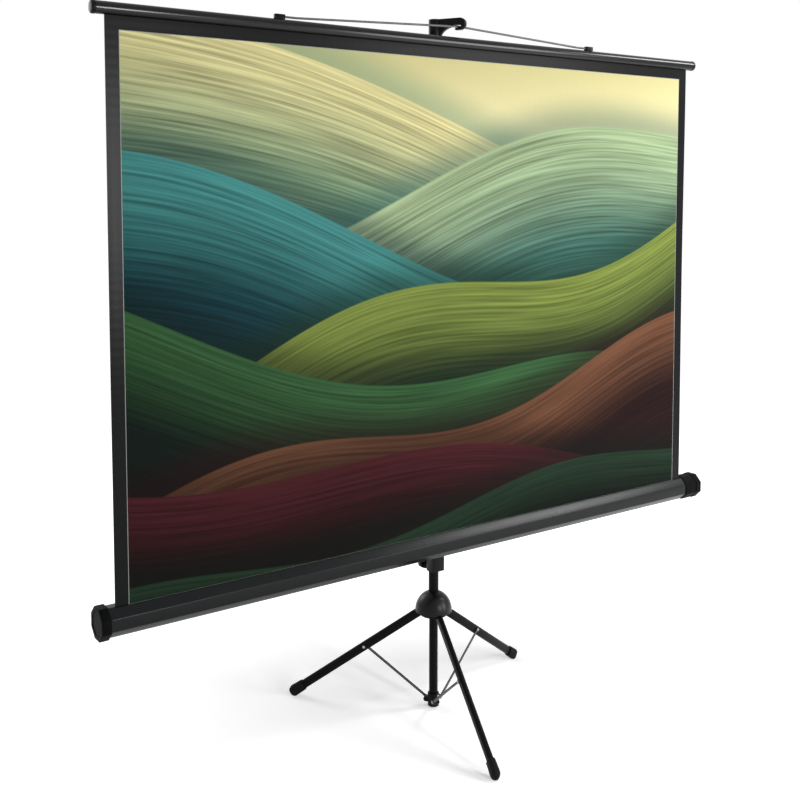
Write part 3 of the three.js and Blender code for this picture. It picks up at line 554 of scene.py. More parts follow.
        light = add_node(
            tree, "ShaderNodeMapRange", {"Value": below, "From Max": self.rim, "To Min": 0.7, "To Max": 0.0}
        )
        return add_node(
            tree,
            "ShaderNodeMix",
            {0: light.outputs[0], 6: streaked.outputs[2], 7: linear(ribbon.crest)},
            data_type="RGBA",
        ).outputs[2]

    @staticmethod
    def _below_crest(
        tree: bpy.types.NodeTree,
        ribbon: Ribbon,
        across: bpy.types.NodeSocket,
        up: bpy.types.NodeSocket,
    ) -> bpy.types.NodeSocket:
        """How far a spot lies below a ribbon's crest, as a share of the picture's height.

        Args:
            tree: The node tree.
            ribbon: The band.
            across: Place across the picture, 0 to 1.
            up: Place up the picture, 0 to 1.

        Returns:
            The distance's socket.
        """
        start = ribbon.height - ribbon.tilt / 2
        slope = add_node(
            tree, "ShaderNodeMath", {0: across, 1: ribbon.tilt, 2: start}, operation="MULTIPLY_ADD"
        )
        angle = add_node(
            tree,
            "ShaderNodeMath",
            {0: across, 1: math.tau * ribbon.waves, 2: math.tau * ribbon.phase},
            operation="MULTIPLY_ADD",
        )
        wave = add_node(tree, "ShaderNodeMath", {0: angle.outputs[0]}, operation="SINE")
        crest = add_node(
            tree,
            "ShaderNodeMath",
            {0: wave.outputs[0], 1: ribbon.swell, 2: slope.outputs[0]},
            operation="MULTIPLY_ADD",
        )
        return add_node(tree, "ShaderNodeMath", {0: crest.outputs[0], 1: up}, operation="SUBTRACT").outputs[0]


def soften(
    bm: bmesh.types.BMesh,
    radius: float,
    segments: int = 2,
    where: Callable[[bmesh.types.BMEdge], bool] | None = None,
) -> None:
    """Rounds the sharp edges of a mesh.

    Args:
        bm: The mesh.
        radius: The rounding's size.
        segments: Steps in the rounding.
        where: A test that picks some of the sharp edges, or none for all of them.
    """
    bm.normal_update()
    edges = [
        edge
        for edge in bm.edges
        if len(edge.link_faces) == 2 and edge.calc_face_angle(0.0) > SHARP and (where is None or where(edge))
    ]
    bmesh.ops.bevel(
        bm,
        geom=edges,
        offset=radius,
        offset_type="OFFSET",
        segments=segments,
        profile=0.5,
        affect="EDGES",
        clamp_overlap=True,
        material=-1,
    )


def turn(profile: Sequence[tuple[float, float]], loop: bool = False) -> bmesh.types.BMesh:
    """Turns a profile about the Z axis.

    Args:
        profile: Radius and height of each point.
        loop: Whether the last point joins the first, as on a tube.

    Returns:
        The turned mesh.
    """
    bm = bmesh.new()
    points = [bm.verts.new((radius, 0.0, height)) for radius, height in profile]
    pairs = list(zip(points, points[1:]))
    if loop:
        pairs.append((points[-1], points[0]))
    lines = [bm.edges.new(pair) for pair in pairs]
    bmesh.ops.spin(
        bm,
        geom=points + lines,
        cent=(0, 0, 0),
        axis=(0, 0, 1),
        dvec=(0, 0, 0),
        angle=math.tau,
        steps=ROUND_STEPS,
        use_merge=True,
    )
    bmesh.ops.remove_doubles(bm, verts=bm.verts, dist=WELD)
    bmesh.ops.recalc_face_normals(bm, faces=bm.faces)
    return bm


def tube(outer: float, inner: float, low: float, high: float) -> bmesh.types.BMesh:
    """A tube on the Z axis with its rims broken.

    Args:
        outer: Outer radius.
        inner: Inner radius.
        low: Height of its foot.
        high: Height of its head.

    Returns:
        The tube's mesh.
    """
    bm = turn([(inner, low), (outer, low), (outer, high), (inner, high)], loop=True)
    soften(bm, (outer - inner) / 4)
    return bm


def raise_faces(bm: bmesh.types.BMesh, faces: list[bmesh.types.BMFace], shift: Vector) -> list[bmesh.types.BMFace]:
    """Extrudes faces by a vector.

    Args:
        bm: The mesh.
        faces: The faces, taken together.
        shift: Where the copies go.

    Returns:
        The faces at the far end.
    """
    made = bmesh.ops.extrude_face_region(bm, geom=faces)["geom"]
    bmesh.ops.translate(bm, vec=shift, verts=[item for item in made if isinstance(item, bmesh.types.BMVert)])
    return [item for item in made if isinstance(item, bmesh.types.BMFace)]


def oval_bar(depth: float, width: float, corner: float, low: float, high: float) -> bmesh.types.BMesh:
    """A bar along Z whose section is a rectangle with round corners.

    Args:
        depth: Size of the section along X.
        width: Size of the section along Y.
        corner: Radius of its corners.
        low: Height of its foot.
        high: Height of its head.

    Returns:
        The bar's mesh.
    """
    bm = bmesh.new()
    bmesh.ops.create_grid(bm, x_segments=1, y_segments=1, size=0.5)
    bmesh.ops.scale(bm, vec=(depth, width, 1.0), verts=bm.verts)
    bmesh.ops.translate(bm, vec=(0, 0, low), verts=bm.verts)
    bmesh.ops.bevel(
        bm,
        geom=bm.verts[:],
        offset=corner,
        offset_type="OFFSET",
        segments=8,
        profile=0.5,
        affect="VERTICES",
        clamp_overlap=True,
        material=-1,
    )
    raise_faces(bm, bm.faces[:], Vector((0, 0, high - low)))
    bmesh.ops.recalc_face_normals(bm, faces=bm.faces)
    return bm


def round_off(bm: bmesh.types.BMesh, end: list[bmesh.types.BMFace], radius: float, steps: int = 8) -> None:
    """Adds a domed end to a bar at the foot of its Z axis, in rings that draw in as they go down.

    Args:
        bm: The mesh.
        end: The face at the bar's end.
        radius: The dome's height.
        steps: Rings in a quarter turn, of which the last is left flat.
    """
    turns = [math.pi / 2 * number / steps for number in range(steps)]
    for before, after in zip(turns, turns[1:]):
        end = raise_faces(bm, end, Vector((0, 0, -radius * (math.sin(after) - math.sin(before)))))
        share = math.cos(after) / math.cos(before)
        bmesh.ops.scale(bm, vec=(share, share, 1.0), verts=[vert for face in end for vert in face.verts])


def block(size: Vector, centre: Vector) -> bmesh.types.BMesh:
    """A box of a size round a centre.

    Args:
        size: Its three sizes.
        centre: Its middle.

    Returns:
        The box's mesh.
    """
    bm = bmesh.new()
    bmesh.ops.create_cube(bm, size=1.0)
    bmesh.ops.scale(bm, vec=size, verts=bm.verts)
    bmesh.ops.translate(bm, vec=centre, verts=bm.verts)
    return bm


def set_down(bm: bmesh.types.BMesh, frame: Matrix) -> bmesh.types.BMesh:
    """Moves a mesh from its own frame to its place.

    Args:
        bm: The mesh.
        frame: The place and turn of its own frame.

    Returns:
        The same mesh.
    """
    bmesh.ops.transform(bm, matrix=frame, verts=bm.verts)
    return bm


def lying_out(side: Side, end: Vector) -> Matrix:
    """The frame of a piece at an end of the screen, with its own Z pointing out along X.

    Args:
        side: The end.
        end: The frame's origin.

    Returns:
        The frame.
    """
    return Matrix.Translation(end) @ Matrix.Rotation(side.value * math.pi / 2, 4, "Y")


class Join(Enum):
    """How shapes are put together with a piece."""

    CUT = "DIFFERENCE"
    ADD = "UNION"


def combine(piece: bpy.types.Object, shapes: Sequence[bmesh.types.BMesh], how: Join) -> None:
    """Cuts shapes out of a piece, or adds them to it, and keeps the result as its mesh.

    Args:
        piece: The piece.
        shapes: Closed meshes, which are used up.
        how: Whether they are cut or added.
    """
    tools = []
    for shape in shapes:
        mesh = bpy.data.meshes.new("shape")
        shape.to_mesh(mesh)
        shape.free()
        tool = bpy.data.objects.new("shape", mesh)
        bpy.context.scene.collection.objects.link(tool)
        tools.append(tool)
        modifier = piece.modifiers.new("shape", "BOOLEAN")
        modifier.operation = how.value
        modifier.solver = "EXACT"
        modifier.object = tool
    keep_modifiers(piece)
    for tool in tools:
        bpy.data.meshes.remove(tool.data)


def keep_modifiers(piece: bpy.types.Object) -> None:
    """Makes what a piece's modifiers give its own mesh."""
    bpy.context.view_layer.update()
    shaped = piece.evaluated_get(bpy.context.evaluated_depsgraph_get())
    mesh = bpy.data.meshes.new_from_object(shaped)
    mesh.set_sharp_from_angle(angle=SHARP)
    piece.modifiers.clear()
    piece.data = mesh


class Workshop:
    """Holds the frame and the finishes, and hands finished pieces over to the frame."""

    def __init__(self) -> None:
        """Loads the frame and gives each node its slot's finish."""
        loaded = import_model()
        self.cad_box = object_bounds()
        self.nodes: dict[str, bpy.types.Object] = loaded["nodes"]
        self.joints: dict[str, dict] = {joint["name"]: joint for joint in loaded["joints"]}
        self._materials: dict[Finish, bpy.types.Material] = {}
        for part in loaded["record"]["subparts"]:
            self._dress(self.nodes[part["node"]].data, SLOT_FINISH[Slot(part["material_slot"])])

    def material(self, finish: Finish) -> bpy.types.Material:
        """The one material of a finish, made when it is first asked for."""
        if finish not in self._materials:
            self._materials[finish] = finish.material()
        return self._materials[finish]

    def _dress(self, mesh: bpy.types.Mesh, finish: Finish) -> None:
        """Gives a mesh one finish alone."""
        mesh.materials.clear()
        mesh.materials.append(self.material(finish))

    def middle(self, node: str) -> Vector:
        """The middle of a node's box."""
        low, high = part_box(node)
        return (low + high) / 2

    def softened(self, node: str, radius: float, segments: int = 2) -> bmesh.types.BMesh:
        """A copy of a node with its flat faces made whole and its edges rounded.

        Args:
            node: The node's name.
            radius: The rounding's size.
            segments: Steps in the rounding.

        Returns:
            The copy's mesh.
        """
        bm = bmesh.new()
        bm.from_mesh(self.nodes[node].data)
        bmesh.ops.remove_doubles(bm, verts=bm.verts, dist=WELD)
        bmesh.ops.dissolve_limit(bm, angle_limit=FLAT, verts=bm.verts, edges=bm.edges)
        soften(bm, radius, segments)
        return bm

    def deliver(
        self,
        name: str,
        bm: bmesh.types.BMesh,
        body: str,
        slot: Slot,
        stands_for: Sequence[str] = (),
        finish: Finish | None = None,
    ) -> bpy.types.Object:
        """Makes a piece of a mesh, shades it and rides it on a body.

        Args:
            name: The piece's name.
            bm: Its mesh, which is used up.
            body: The body that it rides on.
            slot: Its slot.
            stands_for: The nodes that it replaces.
            finish: Its finish, where that isn't the slot's.

        Returns:
            The piece.
        """
        mesh = bpy.data.meshes.new(name)
        bm.to_mesh(mesh)
        bm.free()
        mesh.shade_smooth()
        mesh.set_sharp_from_angle(angle=SHARP)
        if "custom_normal" in mesh.attributes:
            mesh.attributes.remove(mesh.attributes["custom_normal"])
        self._dress(mesh, finish or SLOT_FINISH[slot])
        piece = bpy.data.objects.new(name, mesh)
        bpy.context.scene.collection.objects.link(piece)
        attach(piece, body)
        if stands_for:
            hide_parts(*stands_for)
        LOG.info("%s: %d faces on %s", name, len(mesh.polygons), body)
        return piece

    def soften_nodes(
        self,
        nodes: Sequence[str],
        body: str,
        slot: Slot,
        radius: float,
        segments: int = 2,
        finish: Finish | None = None,
    ) -> None:
        """Replaces nodes with copies whose edges are rounded.

        Args:
            nodes: The nodes' names.
            body: The body that they ride on.
            slot: Their slot.
            radius: The rounding's size.
            segments: Steps in the rounding.
            finish: Their finish, where that isn't the slot's.
        """
        for node in nodes:
            self.deliver(f"{node}_moulded", self.softened(node, radius, segments), body, slot, [node], finish)


@dataclass
class ScreenSheet:
    """The cloth between the case and the top bar, with its border and its projected picture painted into its colour.
    """

    shop: Workshop
    side_border: float = 30 * MM
    top_border: float = 28 * MM  # below the slat
    slat_radius: float = 13 * MM
    columns: int = 64
    rows: int = 46
    wave: float = 0.7 * MM  # cloth is never quite flat
    curl: float = 1.6 * MM  # of its free edges, backwards
    curl_width: float = 90 * MM

    def build(self) -> bpy.types.Object:
        """Makes the sheet and rides it on the carriage.

        Returns:
            The sheet.
        """
        low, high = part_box("screen_fabric")
        size = high - low
        bm = self._cloth(low, high)
        sheet = self.shop.deliver("screen_sheet", bm, "carriage", Slot.CLOTH, ["screen_fabric"])
        case_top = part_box("case_shell")[1].z
        slat_middle = self.shop.middle("top_slat").z
        cloth = PictureCloth(
            size.x,
            size.z,
            self.side_border,
            case_top - low.z,
            high.z - slat_middle + self.slat_radius + self.top_border,
        )
        sheet.data.materials.append(cloth.material())
        for face in sheet.data.polygons:
            face.material_index = 1 if face.normal.y < -0.5 else 0
        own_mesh(sheet)
        return sheet

    def _cloth(self, low: Vector, high: Vector) -> bmesh.types.BMesh:
        """The sheet's mesh with its UV map.

        Args:
            low: Lowest corner of the sheet's box.
            high: Highest corner.

        Returns:
            The mesh.
        """
        size = high - low
        bm = bmesh.new()
        bmesh.ops.create_grid(bm, x_segments=self.columns, y_segments=self.rows, size=0.5)
        upright = Matrix.Rotation(math.pi / 2, 4, "X")
        bmesh.ops.scale(bm, vec=(size.x, size.z, 1.0), verts=bm.verts)
        set_down(bm, upright)
        bmesh.ops.translate(bm, vec=((low.x + high.x) / 2, low.y, (low.z + high.z) / 2), verts=bm.verts)
        raise_faces(bm, bm.faces[:], Vector((0, size.y, 0)))
        bmesh.ops.recalc_face_normals(bm, faces=bm.faces)
        uv = bm.loops.layers.uv.new("sheet")
        for face in bm.faces:
            for corner in face.loops:
                offset = corner.vert.co - low
                corner[uv].uv = (offset.x / size.x, offset.z / size.z)
        for vert in bm.verts:
            vert.co.y += self._lift(vert.co, low, size)
        return bm

    def _lift(self, spot: Vector, low: Vector, size: Vector) -> float:
        """How far the cloth stands back at a spot: soft waves, and free edges that curl.

        Args:
            spot: The spot.
            low: Lowest corner of the sheet's box.
            size: The box's sizes.

        Returns:
            The distance along Y.
        """
        up = (spot.z - low.z) / size.z
        slack = math.sin(math.pi * up) ** 2
        from_edge = min(spot.x - low.x, low.x + size.x - spot.x)
        curl = self.curl * max(0.0, 1 - from_edge / self.curl_width) ** 2
        wave = self.wave * math.sin(5.2 * spot.x + 1.1) * math.sin(3.7 * spot.z)
        return slack * (curl + wave)


@dataclass(frozen=True)
class CapShape:
    """An end cap: the length of its cup, and the rim that stands out at its end."""

    length: float
    rim: float  # the rim's length
    step: float  # how far the rim stands out


@dataclass
class ScreenCase:
    """The octagonal case with its slot, its two end caps and the roll of cloth inside."""

    shop: Workshop
    flats: float = 60 * MM
    wall: float = 1.6 * MM
    slot: float = 3.2 * MM
    lip: float = 1.3 * MM  # in front of the slot
    edge: float = 1.6 * MM  # rounding of the extruded edges
    left_cap: CapShape = CapShape(20 * MM, 20 * MM, 0.0)
    right_cap: CapShape = CapShape(63 * MM, 20 * MM, 1.4 * MM)
    cap_wall: float = 3.2 * MM
    cap_end: float = 3 * MM
    cap_edge: float = 0.9 * MM
    panel_margin: float = 7 * MM  # of the sunk panel in a cap's end
    panel_depth: float = 1.2 * MM
    cloth_turns: float = 1 * MM  # thickness of the cloth on the roller

    def build(self) -> None:
        """Makes the case, its caps and the roll."""
        self._shell()
        for side in Side:
            self._cap(side)
        self._roll()

    def _shell(self) -> None:
        """The extruded case, open at its slot."""
        low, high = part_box("case_shell")
        half = self.flats / 2
        side = half * math.tan(math.pi / 8)
        front = self.lip - side
        outline = [(front + self.slot, half)]
        for number in range(8):
            angle = math.pi * (3 / 8 - number / 4)
            reach = half / math.cos(math.pi / 8)
            outline.append((reach * math.cos(angle), reach * math.sin(angle)))
        outline.append((front, half))
        bm = bmesh.new()
        centre = (low + high) / 2
        points = [bm.verts.new((low.x, centre.y + y, centre.z + z)) for y, z in outline]
        lines = [bm.edges.new(pair) for pair in zip(points, points[1:])]
        made = bmesh.ops.extrude_edge_only(bm, edges=lines)["geom"]
        far = [item for item in made if isinstance(item, bmesh.types.BMVert)]
        bmesh.ops.translate(bm, vec=(high.x - low.x, 0, 0), verts=far)
        bmesh.ops.recalc_face_normals(bm, faces=bm.faces)
        soften(bm, self.edge, segments=4)
        shell = self.shop.deliver("case_extrusion", bm, "carriage", Slot.CASE, ["case_shell"])
        thickness = shell.modifiers.new("wall", "SOLIDIFY")
        thickness.thickness = self.wall
        thickness.offset = -1
        keep_modifiers(shell)

    def _cap(self, side: Side) -> None:
        """A moulded cup on one end of the case.

        Args:
            side: The end.
        """
        node = f"case_cap_{side.word}"
        low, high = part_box(node)
        end = low.x if side is Side.LEFT else high.x
        shape = self.left_cap if side is Side.LEFT else self.right_cap
        outer = self.flats / 2 + FIT + self.cap_wall
        cup = outer - shape.step
        bm = bmesh.new()
        bmesh.ops.create_circle(bm, cap_ends=True, segments=8, radius=cup / math.cos(math.pi / 8))
        bmesh.ops.rotate(bm, cent=(0, 0, 0), matrix=Matrix.Rotation(math.pi / 8, 3, "Z"), verts=bm.verts)
        bmesh.ops.translate(bm, vec=(0, 0, -shape.length), verts=bm.verts)
        top = bm.faces[:]
        if shape.step:
            top = raise_faces(bm, top, Vector((0, 0, shape.length - shape.rim)))
            top = raise_faces(bm, top, Vector((0, 0, shape.step)))
            wider = outer / cup
            bmesh.ops.scale(bm, vec=(wider, wider, 1.0), verts=[vert for face in top for vert in face.verts])
        raise_faces(bm, top, Vector((0, 0, shape.rim - shape.step)))
        bmesh.ops.recalc_face_normals(bm, faces=bm.faces)
        soften(bm, self.cap_edge, segments=3)
        panel = max(bm.faces, key=lambda face: face.calc_center_median().z)
        bmesh.ops.inset_region(bm, faces=[panel], thickness=self.panel_margin, use_even_offset=True)
        bmesh.ops.inset_region(
            bm, faces=[panel], thickness=self.panel_depth, depth=-self.panel_depth, use_even_offset=True
        )
        mouth = min(bm.faces, key=lambda face: face.calc_center_median().z)
        bmesh.ops.inset_region(
            bm,
            faces=[mouth],
            thickness=self.cap_wall - shape.step - self.cap_edge,
            use_even_offset=True,
        )
        raise_faces(bm, [mouth], Vector((0, 0, shape.length - self.cap_end)))
        axis = self.shop.middle("case_shell")
        set_down(bm, lying_out(side, Vector((end, axis.y, axis.z))))
        self.shop.deliver(f"case_end_{side.word}", bm, "carriage", Slot.PLASTIC, [node], MATT_ABS)

    def _roll(self) -> None:
        """The turns of cloth on the roller."""
        low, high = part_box("fabric_roll")
        radius = (high.z - low.z) / 2
        bm = tube(radius, radius - self.cloth_turns, low.x, high.x)
        centre = Vector((0, (low.y + high.y) / 2, (low.z + high.z) / 2))
        set_down(bm, lying_out(Side.RIGHT, centre))
        self.shop.deliver("fabric_turns", bm, "roller", Slot.CLOTH, ["fabric_roll"])


@dataclass
class TopBar:
    """The slat that holds the cloth's top edge, its plugs, and the wire bail that hangs on the hook."""

    shop: Workshop
    radius: float = 13 * MM
    wall: float = 1.5 * MM
    groove: float = 2.4 * MM
    plug_lip: float = 0.5 * MM
    plug_head: float = 8 * MM
    plug_depth: float = 12 * MM
    plug_round: float = 3.5 * MM
    wire: float = 2.5 * MM  # radius
    wire_stub: float = 30 * MM  # straight out of a clip
    wire_bend: float = 12 * MM  # from a bend's corner to where it ends
    apex_offset: float = 30 * MM  # from the bail's middle to where the hook holds it

    def build(self) -> None:
        """Makes the slat, its plugs and the bail."""
        self._slat()
        for side in Side:
            self._plug(side)
        self._bail()
        self.shop.soften_nodes(["bail_clip_left", "bail_clip_right"], "top", Slot.PAINT, 1.2 * MM)

    def _slat(self) -> None:
        """The slotted tube."""
        low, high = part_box("top_slat")
        gap = math.asin(self.groove / 2 / self.radius)
        bm = bmesh.new()
        start = bm.verts.new((0, self.radius * math.sin(gap), -self.radius * math.cos(gap)))
        bmesh.ops.spin(
            bm,
            geom=[start],
            cent=(0, 0, 0),
            axis=(1, 0, 0),
            dvec=(0, 0, 0),
            angle=math.tau - 2 * gap,
            steps=ROUND_STEPS,
        )
        made = bmesh.ops.extrude_edge_only(bm, edges=bm.edges[:])["geom"]
        far = [item for item in made if isinstance(item, bmesh.types.BMVert)]
        bmesh.ops.translate(bm, vec=(high.x - low.x, 0, 0), verts=far)
        bmesh.ops.recalc_face_normals(bm, faces=bm.faces)
        centre = (low + high) / 2
        bmesh.ops.translate(bm, vec=(low.x, centre.y, high.z - self.radius), verts=bm.verts)
        slat = self.shop.deliver("top_bar", bm, "top", Slot.PAINT, ["top_slat"], GLOSS_ENAMEL)
        thickness = slat.modifiers.new("wall", "SOLIDIFY")
        thickness.thickness = self.wall
        thickness.offset = -1
        keep_modifiers(slat)

    def _plug(self, side: Side) -> None:
        """A moulded plug with a round head in one end of the slat.

        Args:
            side: The end.
        """
        node = f"slat_plug_{side.word}"
        low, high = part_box("top_slat")
        head = self.radius + self.plug_lip
        seat = self.radius - self.wall - FIT
        bm = turn(
            [
                (0, -self.plug_depth),
                (seat, -self.plug_depth),
                (seat, FIT),
                (head, FIT),
                (head, FIT + self.plug_head),
                (0, FIT + self.plug_head),
            ]
        )
        outer_rim = FIT + self.plug_head - WELD
        soften(bm, self.plug_round, segments=5, where=lambda edge: min(v.co.z for v in edge.verts) > outer_rim)
        end = Vector((low.x if side is Side.LEFT else high.x, (low.y + high.y) / 2, high.z - self.radius))
        set_down(bm, lying_out(side, end))
        self.shop.deliver(f"slat_end_{side.word}", bm, "top", Slot.PLASTIC, [node])

    def apex(self) -> Vector:
        """The middle of the wire where the hook holds it."""
        low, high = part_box("bail_wire")
        return Vector(((low.x + high.x) / 2 + self.apex_offset, high.y - self.wire, high.z - self.wire))

    def _bail(self) -> None:
        """The spring wire from clip to clip, lifted by the hook."""
        low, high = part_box("bail_wire")
        foot_y = self.shop.middle("top_slat").y
        foot_z = low.z + self.wire
        bends_x = (
            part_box("bail_clip_left")[1].x + self.wire_stub,
            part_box("bail_clip_right")[0].x - self.wire_stub,
        )
        corners = [Vector((x, foot_y, foot_z)) for x in (low.x, *bends_x, high.x)]
        corners.insert(2, self.apex())
        route = [corners[0]]
        for before, corner, after in zip(corners, corners[1:], corners[2:]):
            route.append(corner + (before - corner).normalized() * self.wire_bend)
            route.append(corner)
            route.append(corner + (after - corner).normalized() * self.wire_bend)
        route.append(corners[-1])
        curve = bpy.data.curves.new("bail", "CURVE")
        curve.dimensions = "3D"
        curve.bevel_depth = self.wire
        curve.bevel_resolution = 3
        curve.use_fill_caps = True
        spline = curve.splines.new("NURBS")
        spline.points.add(len(route) - 1)
        for point, place in zip(spline.points, route):
            point.co = (*place, 1.0)
        spline.order_u = 3
        spline.use_endpoint_u = True
        spline.resolution_u = 8
        curve.materials.append(self.shop.material(WIRE_LACQUER))
        bail = bpy.data.objects.new("bail", curve)
        bpy.context.scene.collection.objects.link(bail)
        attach(bail, "top")
        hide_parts("bail_wire")
        LOG.info("bail: %d points on top", len(route))


@dataclass
class Mast:
    """The mast, the tube that slides in it, the rod below, the hook on top and what clamps them."""

    shop: Workshop
    wire_top: Vector  # the middle of the bail's wire in the hook
    radius: float = 12.5 * MM
    wall: float = 1.2 * MM
    hook_wall: float = 3.7 * MM  # of the socket
    hook_width: float = 12 * MM
    hook_arm: float = 17 * MM  # above the slot
    hook_slot: float = 7 * MM
    hook_lip: float = 5 * MM
    lip_length: float = 12 * MM
    slot_reach: float = 4 * MM  # past the wire
    web_end: float = 49 * MM  # from the mast's axis
    web_rise: float = 26 * MM  # of the web's end above the socket's foot
    hook_edge: float = 1.2 * MM

    def build(self) -> None:
        """Makes the tubes and rounds the moulded pieces on them."""
        inner = self.radius - self.wall - FIT
        self._tube("mast_pole", "mast_tube", "mast", self.radius)
        self._tube("extension_pole", "extension_tube", "top", inner)
        self._tube("spreader_pole", "spreader_rod", "base", inner)
        self.shop.soften_nodes(["mast_collar"], "mast", Slot.PLASTIC, 1.2 * MM)
        self.shop.soften_nodes(["mast_knob"], "mast_knob", Slot.PLASTIC, 1.5 * MM, 3)
        self._hook(inner)
        self.shop.soften_nodes(["hook_rivet"], "top", Slot.STEEL, 0.8 * MM, 3, POWDER_COAT)
        self.shop.soften_nodes(["carriage"], "carriage", Slot.PLASTIC, 1.4 * MM)
        self.shop.soften_nodes(["case_screw_left", "case_screw_right"], "carriage", Slot.STEEL, 0.8 * MM)
        self.shop.soften_nodes(["carriage_knob"], "carriage_knob", Slot.PLASTIC, 1.5 * MM, 3)

    def _hook(self, rod: float) -> None:
        """The hook: a socket on the extension, and an arm that ends in a slot for the bail's wire.

        Args:
            rod: The extension's radius.
        """
        low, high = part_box("hook_arm")
        mast = self.shop.middle("mast_tube")
        reach = self.wire_top - mast
        slot_top = high.z - self.hook_arm
        socket = rod + FIT + self.hook_wall
        bm = turn(
            [(rod + FIT, low.z), (socket, low.z), (socket, high.z), (0, high.z), (0, slot_top), (rod + FIT, slot_top)],
            loop=True,
        )
        soften(bm, self.hook_edge, 3)
        frame = Matrix.Translation((mast.x, mast.y, 0)) @ Matrix.Rotation(math.atan2(reach.y, reach.x), 4, "Z")
        set_down(bm, frame)
        hook = self.shop.deliver("hook", bm, "top", Slot.PLASTIC, ["hook_arm"])
        arm = set_down(self._hook_arm(math.hypot(reach.x, reach.y), socket, low.z, high.z), frame)
        combine(hook, [arm], Join.ADD)

    def _hook_arm(self, reach: float, socket: float, low: float, high: float) -> bmesh.types.BMesh:
        """The hook's arm in its own frame: a plate along X with a slot, a lip and a web under it.

        Args:
            reach: From the mast's axis to the wire.
            socket: The socket's radius.
            low: Height of the socket's foot.
            high: Height of the arm's top.

        Returns:
            The plate's mesh.
        """
        slot_top = high - self.hook_arm
        lip_top = slot_top - self.hook_slot
        lip_low = lip_top - self.hook_lip
        slot_end = reach + self.slot_reach
        root = socket - self.hook_wall / 2
        web = interpolate_bezier(
            Vector((self.web_end, 0, low + self.web_rise)),
            Vector((socket + self.web_rise / 2, 0, low + self.web_rise * 0.9)),
            Vector((socket + self.hook_wall, 0, low + self.web_rise / 2)),
            Vector((socket, 0, low + self.hook_wall)),
            8,
        )
        bm = bmesh.new()
        back = [bm.verts.new(place) for place in ((root, 0, low + self.hook_wall), (root, 0, high))]
        nose = self._bend(bm, slot_end, high, lip_low)
        lip = [bm.verts.new((slot_end - self.lip_length, 0, height)) for height in (lip_low, lip_top)]
        slot = self._bend(bm, slot_end, slot_top, lip_top)
        under = [bm.verts.new((self.web_end, 0, slot_top))] + [bm.verts.new(place) for place in web]
        points = back + nose + lip + slot[::-1] + under
        for pair in zip(points, points[1:] + points[:1]):
            if bm.edges.get(pair) is None:
                bm.edges.new(pair)
        plate = bmesh.ops.contextual_create(bm, geom=bm.edges[:])["faces"]
        raise_faces(bm, plate, Vector((0, self.hook_width, 0)))
        bmesh.ops.translate(bm, vec=(0, -self.hook_width / 2, 0), verts=bm.verts)
        bmesh.ops.recalc_face_normals(bm, faces=bm.faces)
        soften(bm, self.hook_edge, 2)
        return bm

    @staticmethod
    def _bend(bm: bmesh.types.BMesh, place: float, high: float, low: float) -> list[bmesh.types.BMVert]:
        """A half circle of edges that bulges along X.

        Args:
            bm: The mesh that takes it.
            place: X of its two ends.
            high: Height of its upper end.
            low: Height of its lower end.

        Returns:
            Its vertices from the upper end to the lower one.
        """
        start = bm.verts.new((place, 0, high))
        before = set(bm.verts)
        bmesh.ops.spin(
            bm,
            geom=[start],
            cent=(place, 0, (high + low) / 2),
            axis=(0, 1, 0),
            dvec=(0, 0, 0),
            angle=math.pi,
            steps=12,
        )
        return [start] + sorted(set(bm.verts) - before, key=lambda vert: -vert.co.z)

    def _tube(self, name: str, node: str, body: str, radius: float) -> None:
        """A round tube in place of a node.

        Args:
            name: The piece's name.
            node: The node.
            body: The body that it rides on.
            radius: Its outer radius.
        """
        low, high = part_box(node)
        bm = tube(radius, radius - self.wall, low.z, high.z)
        bmesh.ops.translate(bm, vec=((low.x + high.x) / 2, (low.y + high.y) / 2, 0), verts=bm.verts)
        self.shop.deliver(name, bm, body, Slot.PAINT, [node])


